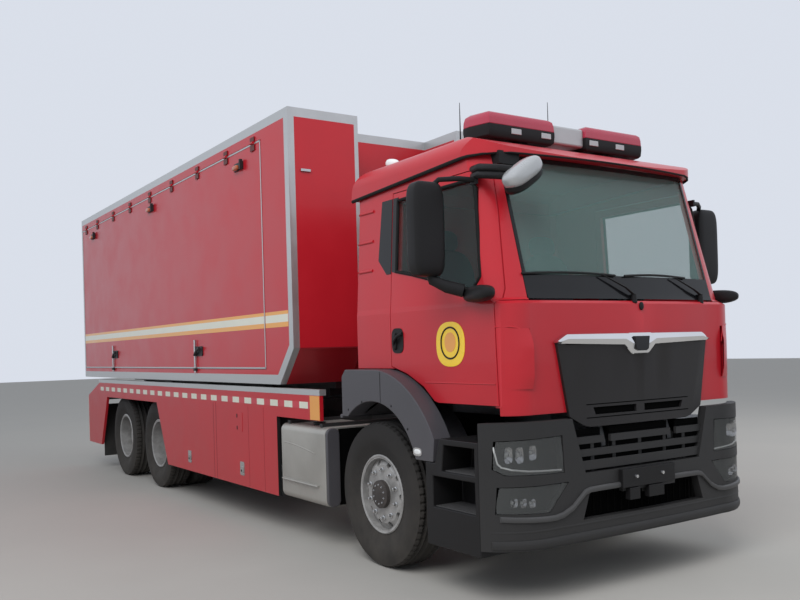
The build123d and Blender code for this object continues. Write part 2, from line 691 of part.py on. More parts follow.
# Container front: ears with a sloping toe and the recess wall, as flat panels a rest gap apart
front_rear = side_door_front - move_gap
panel_inner = recess_half + side_wall + rest_gap
post_rear = box_front + 40
post_toe = chamfer_z - 40 * (chamfer_z - box_bottom) / (chamfer_y - box_front)
with BuildPart() as container_front:
    # Ear sides, inside the frame's ring
    add_side_pair([(box_front + rail_deep, top_rail_bottom), (front_rear, top_rail_bottom),
                   (front_rear, bottom_rail_top), (chamfer_y + 37, bottom_rail_top),
                   (box_front + rail_deep, chamfer_z + 31)], (half - side_wall, half))
    # Ear fronts, toes and floors
    add_side_pair([(box_front, chamfer_z + 2 * rest_gap), (box_front, top_rail_bottom),
                   (box_front + side_wall, top_rail_bottom),
                   (box_front + side_wall, chamfer_z + 20 + 2 * rest_gap)], (recess_half + 40, ring_inner_x))
    add_side_pair([(box_front, chamfer_z), (box_front + side_wall, chamfer_z + 20),
                   (chamfer_y + 10, floor_bottom), (chamfer_y, box_bottom)], (recess_half + 40, ring_inner_x))
    add_side_pair([(chamfer_y + rest_gap, box_bottom), (chamfer_y + 10 + rest_gap, floor_bottom),
                   (front_rear, floor_bottom), (front_rear, box_bottom)], (panel_inner, ring_inner_x))
    # Recess sides, each with a small corner under its post
    add_side_pair([(post_rear, top_rail_bottom), (recess_back - rest_gap, top_rail_bottom),
                   (recess_back - rest_gap, box_bottom), (chamfer_y, box_bottom), (post_rear, post_toe)],
                  (recess_half, recess_half + side_wall))
    add_side_pair([(box_front, chamfer_z), (post_rear - rest_gap, chamfer_z),
                   (post_rear - rest_gap, post_toe)], (recess_half, recess_half + side_wall))
    # Recess back, with a slot for the jib at its foot
    add_block((-recess_half - side_wall, recess_half + side_wall), (recess_back, recess_back + side_wall),
              (floor_bottom, top_rail_bottom))
    add_pair((jib_half + 20, recess_half + side_wall), (recess_back, recess_back + side_wall),
             (box_bottom, floor_bottom - rest_gap))
save(container_front, "container_front")

# Container floor with its two runners and cross bearers
floor_front = front_rear
floor_rear = box_rear - rail_deep
with BuildPart() as container_floor:
    add_block((-ring_inner_x, ring_inner_x), (floor_front, floor_rear), (floor_bottom, 1450))
    add_pair((430, 530), (floor_front, floor_rear), (runner_bottom, floor_bottom))
    add_block((-recess_half - side_wall, recess_half + side_wall),
              (floor_front - 10, recess_back + side_wall),
              (runner_bottom - 10, 1460), Mode.SUBTRACT)
    for place in range(1900, 8000, 760):
        add_pair((530, ring_inner_x), (place, place + 60), (1330, floor_bottom))
save(container_floor, "container_floor")

# Container roof, inside the rails
with BuildPart() as container_roof:
    with BuildSketch(Plane.XY.offset(box_top - 40)):
        container_plan(60, floor_rear)
    extrude(amount=36)
    add(container_frame.part, mode=Mode.SUBTRACT)
save(container_roof, "container_roof")

# Header and sill above and below the side doors
with BuildPart() as container_sides:
    for z in ((side_door_top + move_gap, top_rail_bottom), (bottom_rail_top, side_door_bottom - move_gap)):
        add_pair((half - side_wall, half), (front_rear, box_rear - 43), z)
    # Side door hinges: the fixed knuckles with their leaves
    for place in side_hinges:
        for side in (-1, 1):
            add_front_shape(octagon(side * (half + hinge_out), side_door_top, hinge_radius),
                            (place - hinge_span, place))
        add_pair((half - 1, half + 8), (place - hinge_span, place),
                 (side_door_top + move_gap, side_door_top + 60))
save(container_sides, "container_sides")

# Doors of the container, all hinged along their top edge
for side, name in ((1, "side_door_left"), (-1, "side_door_right")):
    with BuildPart() as side_door:
        add_block(sorted((side * (half - side_wall), side * half)),
                  (side_door_front, side_door_rear - move_gap),
                  (side_door_bottom, side_door_top))
        for place in side_hinges:
            start = place + rest_gap
            add_front_shape(octagon(side * (half + hinge_out), side_door_top, hinge_radius),
                            (start, start + hinge_span))
            add_block(sorted((side * (half - 1), side * (half + 8))), (start, start + hinge_span),
                      (side_door_top - 75, side_door_top))
    save(side_door, name)
with BuildPart() as rear_door:
    add_block((-ring_inner_x + move_gap, ring_inner_x - move_gap),
              (rear_door_face - side_wall, rear_door_face),
              (side_door_bottom, side_door_top))
    for place in rear_hinges:
        start = place + rest_gap
        add_side_shape(octagon(box_rear - hinge_out, side_door_top, hinge_radius),
                       (start, start + hinge_span))
        add_block((start, start + hinge_span), (rear_door_face - 1, rear_door_face + 8),
                  (side_door_top - 75, side_door_top))
save(rear_door, "rear_door")

# Cab sections: height, half width, nose, brow x, brow, bend x, bend, cheek
cab_table = [
    (1060, 1120, -1440, 900, -1415, 1060, -1378, -1310),
    (1862, 1120, -1440, 900, -1415, 1060, -1378, -1310),
    (1900, 1115, -1410, 900, -1372, 1040, -1312, -1235),
    (2880, 1055, -1155, 850, -1125, 985, -1070, -980),
]


def cab_outline(section, grow):
    """One level of the cab seen from above, grown outwards."""
    height, wide, nose, brow_x, brow, bend_x, bend, cheek = section
    with BuildSketch(Plane.XY.offset(height)) as level:
        with BuildLine():
            right_brow = (-brow_x - 0.3 * grow, along(brow - grow))
            left_brow = (brow_x + 0.3 * grow, along(brow - grow))
            right_cheek = (-wide - grow, along(cheek))
            left_cheek = (wide + grow, along(cheek))
            right_back = (-wide - grow, along(cab_back - 90))
            left_back = (wide + grow, along(cab_back - 90))
            ThreePointArc(right_brow, (0, along(nose - grow)), left_brow)
            ThreePointArc(left_brow, (bend_x + 0.7 * grow, along(bend - 0.7 * grow)), left_cheek)
            Line(left_cheek, left_back)
            Line(left_back, (wide - 90, along(cab_back + grow)))
            Line((wide - 90, along(cab_back + grow)), (90 - wide, along(cab_back + grow)))
            Line((90 - wide, along(cab_back + grow)), right_back)
            Line(right_back, right_cheek)
            ThreePointArc(right_cheek, (-bend_x - 0.7 * grow, along(bend - 0.7 * grow)), right_brow)
        make_face()
    return level.sketch


def cab_hull(grow):
    """The cab's body between its lowest and highest section, grown outwards."""
    levels = [cab_outline(section, grow) for section in cab_table]
    with BuildPart() as hull:
        loft(levels, ruled=True)
    return hull.part


def below_seal(drop):
    """A big block under the roof seal's sloping line."""
    with BuildPart() as region:
        add_side_shape([(-1700, 900), (-1700, seal_front_z - drop + 20), (-1262, seal_front_z - drop),
                        (440, seal_rear_z - drop), (700, seal_rear_z - drop - 12), (700, 900)],
                        (-1300, 1300))
    return region.part


# Door outline and seam, and the window in it: (distance, height)
seam = [(-1319, door_bottom), (-1302, 1955), (-1195, 2459), (-1128, 2735)]
door_outline = [(door_rear, 1476), (-330, 1424), (-530, 1336), (-655, 1240), (-700, door_bottom), *seam,
                (door_rear, 2735)]
window_outline = [(-195, 2160), (-395, 2121), (-1085, 1960), (-1165, 2043), (-1092, 2620), (-1050, 2680),
                  (-195, 2680)]
door_inner_x = 900


cab_outer = cab_hull(0)
cab_inner = cab_hull(-cab_wall)
with BuildPart() as cab_shell:
    add(cab_outer)
    add(cab_inner, mode=Mode.SUBTRACT)
    add(below_seal(rest_gap), mode=Mode.INTERSECT)

# Cab front: everything ahead of the door seams and below the screen
with BuildPart() as cab_front:
    add(cab_shell.part)
    add_side_shape([(-1700, cab_bottom), (-1700, screen_base - 5), (-1304 - move_gap, screen_base - 5),
                    (-1319 - move_gap, cab_bottom)], (-1300, 1300), Mode.INTERSECT)
    add_pair((935, 975), (-1700, -1330), (1331, 1704), Mode.SUBTRACT)
    # Lower hinge plates, just under the doors' front corners
    add_pair((1072, 1108), (-1335, -1280), (1217, door_bottom - rest_gap))
save(cab_front, "cab_front")

# Cab sides: rear quarters, door headers and screen pillars
with BuildPart() as cab_sides:
    add(cab_shell.part)
    add_side_shape(grown(door_outline, move_gap), (-1300, 1300), Mode.SUBTRACT)
    add_side_shape([(-1700, 900), (-1700, screen_base), (-1304, screen_base), (-1310, 900)],
                   (-1300, 1300), Mode.SUBTRACT)
    add_block((-1300, 1300), (-1330, 600), (900, 1460), Mode.SUBTRACT)
    add_block((-905, 905), (-1700, 340), (900, 3000), Mode.SUBTRACT)
    add_block((-1000, 1000), (330, 600), (900, 3000), Mode.SUBTRACT)
save(cab_sides, "cab_sides")

# Cab rear wall
with BuildPart() as cab_rear:
    add(cab_shell.part)
    add_block((-1000 + rest_gap, 1000 - rest_gap), (340, 600), (cab_floor_bottom, 3000), Mode.INTERSECT)
save(cab_rear, "cab_rear")

# Windscreen, one curved pane between the pillars
with BuildPart() as windscreen:
    add(cab_hull(-8))
    add(cab_hull(-16), mode=Mode.SUBTRACT)
    add(below_seal(6), mode=Mode.INTERSECT)
    add_block((-905 + rest_gap, 905 - rest_gap), (-1700, -700), (screen_base + 8, 3000), Mode.INTERSECT)
save(windscreen, "windscreen")

# Cab floor with the engine tunnel, wheel houses and pivot arms
with BuildPart() as cab_floor:
    add(cab_hull(-cab_wall - rest_gap))
    add_block((-1300, 1300), (-1700, 600), (cab_floor_bottom, cab_floor_top), Mode.INTERSECT)
    add_pair((1056, 1300), (-1350, door_rear + 5), (1200, 1300), Mode.SUBTRACT)
    add_block((-430, 430), (-980, 340), (cab_floor_bottom, 1400))
    add_block((-400, 400), (-960, 320), (1200, 1365), Mode.SUBTRACT)
    add_pair((1045, 1070 - rest_gap), (door_rear + 10, 335), (cab_floor_bottom, 1600))
    add_side_pair([(-1385, cab_floor_bottom + 20), (-1300, cab_floor_bottom + 20), (-1352, 930),
                   (-1375, 905), (-1405, 905), (-1425, 930), (-1425, 960), (-1385, 1100)], (306, 344))
    for side in (-1, 1):
        add_bar_x(sorted((side * 300, side * 350)), cab_pivot[0], cab_pivot[1],
                  cab_pivot_radius + rest_gap, Mode.SUBTRACT)
save(cab_floor, "cab_floor")


def roof_body(grow):
    """The roof: side outline, cross outline and plan outline met together, grown outwards."""
    with BuildPart() as body:
        with BuildSketch(Plane.YZ.offset(-1300)):
            with BuildLine():
                Line((along(-1262 - grow), seal_front_z), (along(440 + grow), seal_rear_z))
                tail = ThreePointArc((along(440 + grow), seal_rear_z), (along(385 + grow), 2930 + grow),
                                     (along(200), 3005 + grow))
                crown = ThreePointArc(tail @ 1, (along(-350), 3032 + grow), (along(-850), 2996 + grow))
                ThreePointArc(crown @ 1, (along(-1090), 2938 + grow), (along(-1262 - grow), seal_front_z))
            make_face()
        extrude(amount=2600)
        with BuildSketch(Plane.XZ.offset(-along(700))):
            with BuildLine():
                Line((-1080 - grow, 2700), (1080 + grow, 2700))
                Line((1080 + grow, 2700), (1080 + grow, 2860))
                left = ThreePointArc((1080 + grow, 2860), (1052 + grow, 2945 + grow), (980, 2992 + grow))
                top = ThreePointArc(left @ 1, (0, 3036 + grow), (-980, 2992 + grow))
                ThreePointArc(top @ 1, (-1052 - grow, 2945 + grow), (-1080 - grow, 2860))
                Line((-1080 - grow, 2860), (-1080 - grow, 2700))
            make_face()
        extrude(amount=2300, mode=Mode.INTERSECT)
        with BuildSketch(Plane.XY.offset(2600)):
            with BuildLine():
                ThreePointArc((-860, along(-1205 - grow)), (0, along(-1262 - grow)),
                              (860, along(-1205 - grow)))
                ThreePointArc((860, along(-1205 - grow)), (1015 + grow, along(-1110 - grow)),
                              (1080 + grow, along(-960)))
                Line((1080 + grow, along(-960)), (1080 + grow, along(600)))
                Line((1080 + grow, along(600)), (-1080 - grow, along(600)))
                Line((-1080 - grow, along(600)), (-1080 - grow, along(-960)))
                ThreePointArc((-1080 - grow, along(-960)), (-1015 - grow, along(-1110 - grow)),
                              (-860, along(-1205 - grow)))
            make_face()
        extrude(amount=600, mode=Mode.INTERSECT)
    return body.part


# Roof shell
roof_outer = roof_body(0)
with BuildPart() as cab_roof:
    add(roof_outer)
    add_side_shape([(-1100, 2700), (-1100, 2870), (-850, 2925), (-350, 2950), (200, 2935), (340, 2870),
                    (360, 2700)], (-940, 940), Mode.SUBTRACT)
save(cab_roof, "cab_roof")

# Mirror housing: height, inset of the level
mirror_table = [(2066, 42), (2084, 18), (2120, 3), (2160, 0), (2580, 0), (2615, 4), (2642, 18), (2658, 42)]


def mirror_housing(side):
    """A mirror housing: levels flat behind and round in front, drawn in at both ends."""
    levels = []
    for height, inset in mirror_table:
        inner, outer = side * (1262 + inset), side * (1492 - inset)
        with BuildSketch(Plane.XY.offset(height)) as level:
            with BuildLine():
                Line((inner, along(-900)), (outer, along(-900)))
                ThreePointArc((outer, along(-900)), (side * 1385, along(-1030 + inset)),
                              (inner, along(-900)))
            make_face()
        levels.append(level.sketch)
    with BuildPart() as housing:
        loft(levels, ruled=True)
    return housing.part


# Doors with their panes and mirrors
for side, name in ((1, "left"), (-1, "right")):
    reach = sorted((side * door_inner_x, side * 1300))
    with BuildPart() as door:
        add(cab_shell.part)
        add_side_shape(door_outline, reach, Mode.INTERSECT)
        add_side_shape(window_outline, reach, Mode.SUBTRACT)
    save(door, "door_" + name)
    with BuildPart() as door_glass:
        add(cab_hull(-14))
        add(cab_hull(-20), mode=Mode.SUBTRACT)
        add_side_shape(window_outline, reach, Mode.INTERSECT)
    save(door_glass, "door_glass_" + name)
    with BuildPart() as mirror_body:
        add(mirror_housing(side))
        # Lower arm cover beside the door, flared clear of the hinge
        with BuildSketch(Plane.XY.offset(1915)):
            with BuildLine():
                Polyline((side * 1126, along(-1050)), (side * 1126, along(-1298)),
                         (side * 1172, along(-1345)),
                         (side * 1200, along(-1330)), (side * 1330, along(-960)),
                         (side * 1262, along(-930)),
                         close=True)
            make_face()
        extrude(amount=60)
        add_block(sorted((side * 1080, side * 1130)), (-1240, -1060), (1915, 1975))
        add_block(sorted((side * 1300, side * 1350)), (-960, -920), (1970, 2110))
        # Upper arm
        add_block(sorted((side * 1300, side * 1340)), (-1110, -940), (2610, 2690))
        add_block(sorted((side * 1040, side * 1320)), (-1110, -1070), (2650, 2690))
        add(cab_hull(rest_gap), mode=Mode.SUBTRACT)
    save(mirror_body, "mirror_" + name)

# Grille panel with its slots, and the bright strip along its top with a dip in the middle
with BuildPart() as grille_strip:
    add(cab_hull(36))
    add(cab_hull(rest_gap), mode=Mode.SUBTRACT)
    add_front_shape([(-742, 1618), (-664, 1661), (664, 1661), (742, 1618), (735, 1606), (660, 1604),
                     (150, 1588),
                     (80, 1526), (-80, 1526), (-150, 1588), (-660, 1604), (-735, 1606)], (-1700, -1300),
                    Mode.INTERSECT)
with BuildPart() as grille:
    add(cab_hull(22))
    add(cab_hull(rest_gap), mode=Mode.SUBTRACT)
    add_front_shape([(-735, 1615), (735, 1615), (645, 1140), (530, 1079), (470, 1064), (-470, 1064),
                     (-530, 1079), (-645, 1140)], (-1700, -1300), Mode.INTERSECT)
    for side in (-1, 1):
        add_front_shape([(side * 40, 1140), (side * 40, 1188), (side * 440, 1188), (side * 420, 1140)],
                        (-1700, -1300), Mode.SUBTRACT)
    add(grille_strip.part)
save(grille, "grille")

# Dashboard with steering column and wheel
with BuildPart() as dash:
    add_side_shape([(-1500, 1500), (-1500, 1872), (-1150, 1850), (-1010, 1800), (-1000, 1620),
                    (-1180, 1500)],
                   (-1055, 1055))
    add(cab_hull(-cab_wall - rest_gap), mode=Mode.INTERSECT)
wheel_tilt = 32
wheel_middle = (520, -860, 1930)
with BuildPart() as steering_wheel:
    wheel_place = Plane(origin=(wheel_middle[0], along(wheel_middle[1]), wheel_middle[2]), x_dir=(1, 0, 0),
                        z_dir=(0, math.sin(math.radians(wheel_tilt)), math.cos(math.radians(wheel_tilt))))
    with Locations(wheel_place):
        Torus(215, 16)
        Cylinder(55, 30)
        Box(420, 34, 14)
        with Locations((0, -100, 0)):
            Box(34, 200, 14)
        with Locations((0, 0, -190)):
            Cylinder(30, 360)
with BuildPart() as dash_with_wheel:
    add(dash.part)
    add(steering_wheel.part)
save(dash_with_wheel, "dash")

# Seats and their bases
with BuildPart() as seats:
    for x in (-520, 520):
        with BuildSketch(Plane.YZ.offset(x - 250)):
            with BuildLine():
                Polyline((along(-640), 1660), (along(-640), 1770), (along(-170), 1770), (along(-60), 2330),
                         (along(-30), 2520), (along(60), 2520), (along(60), 2330), (along(-20), 1660),
                         close=True)
            make_face()
        extrude(amount=500)
save(seats, "seats")
with BuildPart() as seat_bases:
    add_pair((330, 710), (-560, -120), (cab_floor_top + 112, 1660 - rest_gap))
    add_pair((432, 710), (-560, -120), (cab_floor_top + rest_gap, 1403))
save(seat_bases, "seat_bases")

# Light bar on two feet: a long dome on each side and a lower middle
light_bar_end = [(150, -650), (808, -650), (808, -820), (700, -930), (150, -930)]
with BuildPart() as light_bar:
    for side in (-1, 1):
        with BuildSketch(Plane.XY.offset(3064)) as module:
            with BuildLine():
                Polyline(*[(side * x, along(d)) for x, d in light_bar_end], close=True)
            make_face()
        extrude(module.sketch, amount=165)
    chamfer(light_bar.edges().group_by(Axis.Z)[-1], 35)
    add_block((-160, 160), (-865, -660), (3070, 3200))
    add_pair((380, 460), (-850, -730), (2900, 3064))
    add(roof_body(rest_gap), mode=Mode.SUBTRACT)
    add_pair((300, 500), (-900, -700), (2600, 2990), Mode.SUBTRACT)
save(light_bar, "light_bar")

# Cab fittings: front mirror on its arm, wipers and aerials
with BuildPart() as cab_fittings:
    with Locations(Location((-965, along(-1405), 2655), (0, -32, 0))):
        Box(270, 110, 120)
    add_block((-1010, -930), (-1400, -1100), (2740, 2775))
    for x, length in ((8, 925), (748, 782)):
        add_bar_z(x, -1428, (1866, 1925), 18)
        add_block((x - length, x), (-1432, -1414), (1922, 1940))
    for x, distance, low, high in ((150, -500, 2990, 3480), (-760, -560, 2960, 3340)):
        add_bar_z(x, distance, (low, high), 6)
    add(cab_hull(rest_gap), mode=Mode.SUBTRACT)
    add(roof_body(rest_gap), mode=Mode.SUBTRACT)
save(cab_fittings, "cab_fittings")
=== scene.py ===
"""Hooklift fire truck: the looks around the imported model, in metres.

The truck faces -Y, +X is its left and +Z is up. Shapes are drawn with their distance behind the
front axle as y, as on a chassis drawing, and piece() moves them to their place.
"""
import json
import math

import bmesh
import bpy
import numpy as np
from mathutils import Matrix, Vector

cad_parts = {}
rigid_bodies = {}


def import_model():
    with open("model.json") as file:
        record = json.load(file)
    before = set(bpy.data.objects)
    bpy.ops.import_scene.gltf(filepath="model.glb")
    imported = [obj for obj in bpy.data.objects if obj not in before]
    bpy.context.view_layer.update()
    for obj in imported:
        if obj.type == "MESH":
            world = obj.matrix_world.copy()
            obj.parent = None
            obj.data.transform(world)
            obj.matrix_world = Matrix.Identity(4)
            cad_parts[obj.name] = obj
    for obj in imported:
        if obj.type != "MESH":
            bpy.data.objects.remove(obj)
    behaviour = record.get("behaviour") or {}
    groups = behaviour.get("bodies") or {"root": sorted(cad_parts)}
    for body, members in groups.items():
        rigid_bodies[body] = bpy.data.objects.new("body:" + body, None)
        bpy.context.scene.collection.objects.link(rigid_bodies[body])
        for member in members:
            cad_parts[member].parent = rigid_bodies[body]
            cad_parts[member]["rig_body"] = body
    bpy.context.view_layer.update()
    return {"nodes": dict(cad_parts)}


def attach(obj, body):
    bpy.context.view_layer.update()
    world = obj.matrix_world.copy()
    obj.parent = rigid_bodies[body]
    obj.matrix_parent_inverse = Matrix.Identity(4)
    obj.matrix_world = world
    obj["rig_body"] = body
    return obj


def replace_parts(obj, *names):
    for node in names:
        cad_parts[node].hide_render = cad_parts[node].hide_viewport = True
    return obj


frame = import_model()
nodes = frame["nodes"]

front_axle_y = -3.3665
rear_axles = (5.069, 6.454)
axle_height = 0.533
front_place = 1.045
twin_places = (1.05, 0.715)
twin_middle = 0.8825
skin = 1.25  # half width over the skirts and the container
both_sides = ((1, "left"), (-1, "right"))
wheel_names = ("front_left", "front_right", "rear_1_left", "rear_1_right", "rear_2_left", "rear_2_right")


# Shapes: each function returns (points, faces), and shapes are joined into one piece

def around(count):
    """Angles spaced evenly round a circle."""
    return np.linspace(0, 2 * np.pi, count, endpoint=False)


def others(axis):
    """The two axes beside an axis."""
    return [k for k in range(3) if k != axis]


def points_at(x, y, z):
    """Points (..., 3) from coordinates that are broadcast together."""
    return np.stack(np.broadcast_arrays(x, y, z), axis=-1)


def grid_faces(rows, columns, wrap_rows=False, wrap_columns=False):
    """Quads between neighbouring points of a grid, joined end to end where it wraps."""
    row = np.arange(rows if wrap_rows else rows - 1)
    column = np.arange(columns if wrap_columns else columns - 1)
    i, j = (part.ravel() for part in np.meshgrid(row, column, indexing="ij"))
    next_i, next_j = (i + 1) % rows, (j + 1) % columns
    corners = (i * columns + j, next_i * columns + j, next_i * columns + next_j, i * columns + next_j)
    return np.stack(corners, axis=1).tolist()


def carried(rings):
    """A closed body through rings of points (stations, around, 3), with a flat end on each side."""
    stations, count = rings.shape[:2]
    first = list(range(count))[::-1]
    last = [(stations - 1) * count + k for k in range(count)]
    return rings.reshape(-1, 3), grid_faces(stations, count, wrap_columns=True) + [first, last]


def prism(outline, axis, low, high):
    """An outline carried straight along one axis; its points are in the other two, in X, Y, Z order."""
    rings = np.zeros((2, len(outline), 3))
    rings[:, :, others(axis)] = outline
    rings[:, :, axis] = [[low], [high]]
    return carried(rings)


def block(x, y, z):
    """A straight block between three (low, high) pairs."""
    return prism([(x[0], y[0]), (x[1], y[0]), (x[1], y[1]), (x[0], y[1])], 2, *z)


def on_skin(y, z, proud, sunk=0.001):
    """A block on the left skin of the skirts or the container, from inside the skin to outside it."""
    return block((skin - sunk, skin + proud), y, z)


def tube(path, radius, sides=12, flat=1.0):
    """A round profile carried along a path; flat squashes it across its second direction."""
    path = np.asarray(path, float)
    tangent = np.gradient(path, axis=0)
    tangent /= np.linalg.norm(tangent, axis=1)[:, None]
    guide = np.array([0.0, 0.0, 1.0]) if abs(tangent[:, 2]).max() < 0.95 else np.array([1.0, 0.13, 0.0])
    across = np.cross(tangent, guide)
    across /= np.linalg.norm(across, axis=1)[:, None]
    up = np.cross(across, tangent)
    turn = around(sides)
    size = np.broadcast_to(np.asarray(radius, float), (len(path),))[:, None, None]
    ring = np.cos(turn)[:, None] * across[:, None] + flat * np.sin(turn)[:, None] * up[:, None]
    return carried(path[:, None] + size * ring)


def turned(profile, centre, axis=0, sides=48):
    """A closed profile of (place along the axis, radius) points, turned about the axis through centre."""
    profile = np.asarray(profile, float)
    turn = around(sides)
    first, second = others(axis)
    points = np.zeros((len(profile), sides, 3))
    points[:, :, axis] = profile[:, :1]
    points[:, :, first] = profile[:, 1:] * np.cos(turn)
    points[:, :, second] = profile[:, 1:] * np.sin(turn)
    return (points + np.asarray(centre, float)).reshape(-1, 3), grid_faces(len(profile), sides, True, True)


def plate(grid, offset, wrap=False):
    """A closed plate: a grid of points (rows, columns, 3), the same grid moved by offset, and the rim.

    Where it wraps, the rows are rings and the last one closes on a middle point."""
    rows, columns = grid.shape[:2]
    count = rows * columns
    points = np.concatenate([grid.reshape(-1, 3), (grid + np.asarray(offset)).reshape(-1, 3)])
    top = grid_faces(rows, columns, wrap_columns=wrap)
    index = np.arange(count).reshape(rows, columns)
    border = [index[0, :-1], index[:-1, -1], index[-1, :0:-1], index[:0:-1, 0]]
    rim = index[0] if wrap else np.concatenate(border)
    after = np.roll(rim, -1)
    side = np.stack([rim, after, after + count, rim + count], axis=1).tolist()
    return points, top + [[k + count for k in face[::-1]] for face in top] + side


def egg(centre, size, power=2.5, rows=24, columns=36, tilt=(0.0, 0.0, 0.0)):
    """A rounded box: a sphere's directions, each coordinate raised to 2 / power, then scaled and turned."""
    lift = np.linspace(-np.pi / 2, np.pi / 2, rows)[:, None]
    turn = around(columns)
    ball = points_at(np.cos(lift) * np.cos(turn), np.cos(lift) * np.sin(turn), np.sin(lift))
    points = np.sign(ball) * np.abs(ball) ** (2 / power) * np.asarray(size)
    for axis, angle in enumerate(np.radians(tilt)):
        first, second = others(axis)
        a, b = points[..., first].copy(), points[..., second].copy()
        points[..., first] = a * np.cos(angle) - b * np.sin(angle)
        points[..., second] = a * np.sin(angle) + b * np.cos(angle)
    return (points + np.asarray(centre, float)).reshape(-1, 3), grid_faces(rows, columns, False, True)


def mirrored(shape):
    """The same shape on the truck's other side."""
    points, faces = shape
    return points * np.array([-1.0, 1.0, 1.0]), [face[::-1] for face in faces]


def on_both(shapes):
    """The shapes and their mirror images."""
    return list(shapes) + [mirrored(shape) for shape in shapes]


def on_side(shapes, side):
    """The shapes, drawn on the left, on the left (1) or on the right (-1)."""
    return list(shapes) if side > 0 else [mirrored(shape) for shape in shapes]


def rounded(x, y, radius, steps=6):
    """A rectangle's outline between (low, high) pairs, with round corners."""
    turn = np.linspace(0, np.pi / 2, steps)
    corner = np.stack([np.cos(turn), np.sin(turn)], axis=1) * radius
    quarter = np.array([[0, -1], [1, 0]])
    places = [(x[1], y[1]), (x[0], y[1]), (x[0], y[0]), (x[1], y[0])]
    outline = []
    for place, middle in zip(places, np.array([[-1, -1], [1, -1], [1, 1], [-1, 1]]) * radius):
        outline.append(corner + middle + place)
        corner = corner @ -quarter
    return np.concatenate(outline)


def oval(centre, size, power=2.0, count=48):
    """A rounded outline around a centre; a higher power is squarer."""
    turn = around(count)
    ring = np.stack([np.cos(turn), np.sin(turn)], axis=1)
    return np.asarray(centre) + np.sign(ring) * np.abs(ring) ** (2 / power) * np.asarray(size)


def placed(name, data):
    """A new object at the origin, linked to the scene."""
    made = bpy.data.objects.new(name, data)
    bpy.context.scene.collection.objects.link(made)
    return made


def shaded(mesh, material, angle):
    """Gives a mesh its finish and smooth shading, but for edges sharper than an angle."""
    mesh.materials.clear()
    mesh.materials.append(material)
    for polygon in mesh.polygons:
        polygon.use_smooth = True
    mesh.set_sharp_from_angle(angle=math.radians(angle))


def piece(name, shapes, look, slot, body="chassis", bevel=0.0, angle=38.0):
    """Joins shapes into one mesh that has a finish and rides on a body; the slot is not used."""
    points, faces, count = [], [], 0
    for shape_points, shape_faces in shapes:
        points.append(shape_points)
        faces += [[k + count for k in face] for face in shape_faces]
        count += len(shape_points)
    mesh = bpy.data.meshes.new(name)
    mesh.from_pydata((np.concatenate(points) + (0, front_axle_y, 0)).tolist(), [], faces)
    surface = bmesh.new()
    surface.from_mesh(mesh)
    bmesh.ops.remove_doubles(surface, verts=surface.verts, dist=1e-5)
    bmesh.ops.dissolve_degenerate(surface, edges=surface.edges, dist=1e-6)
    bmesh.ops.recalc_face_normals(surface, faces=surface.faces)
    surface.to_mesh(mesh)
    surface.free()
    shaded(mesh, finishes[look], angle)
    made = placed(name, mesh)
    if bevel:
        round_edges(made, bevel)
    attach(made, body)
    return made


def pair(name, shapes, *rest, **more):
    """A piece of the shapes, drawn on the left, and their mirror images."""
    return piece(name, on_both(shapes), *rest, **more)


def pieces_by_side(body, table):
    """Pieces on BODY_left and BODY_right; a row has a name, shapes drawn on the left, finish, slot, bevel."""
    for side, name in both_sides:
        for kind, shapes, *rest in table:
            piece(kind % name, on_side(shapes, side), *rest[:2], body + name, *rest[2:])


def round_edges(made, width):
    """Rounds the sharp edges of a piece."""
    rounding = made.modifiers.new("rounded edges", "BEVEL")
    rounding.width = width
    rounding.segments = 2
    rounding.limit_method = "ANGLE"
    rounding.angle_limit = math.radians(38)
    rounding.harden_normals = True


def dressed(node, width):
    """A CAD node's own shape with its edges rounded, standing for the node."""
    mesh = nodes[node].data.copy()
    surface = bmesh.new()
    surface.from_mesh(mesh)
    bmesh.ops.remove_doubles(surface, verts=surface.verts, dist=2e-5)
    bmesh.ops.dissolve_limit(surface, angle_limit=math.radians(0.4), verts=surface.verts, edges=surface.edges)
    surface.to_mesh(mesh)
    surface.free()
    shaded(mesh, mesh.materials[0], 30)
    made = placed(node + "_dressed", mesh)
    round_edges(made, width)
    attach(made, nodes[node]["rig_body"])
    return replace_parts(made, node)


# Finishes

def join(output, node, socket):
    """Links an output to a node's input, which is given by name or number."""
    node.id_data.links.new(output, node.inputs[socket])


def add(tree, kind, *linked, output=0, **values):
    """A new shader node and one of its outputs: links to its first inputs, then links, values or settings by name."""
    node = tree.nodes.new("ShaderNode" + kind)
    for socket, source in enumerate(linked):
        join(source, node, socket)
    for key, value in values.items():
        if isinstance(value, bpy.types.NodeSocket):
            join(value, node, key)
        elif key in node.inputs:
            node.inputs[key].default_value = value
        else:
            setattr(node, key, value)
    return node.outputs[output]


finishes = {}


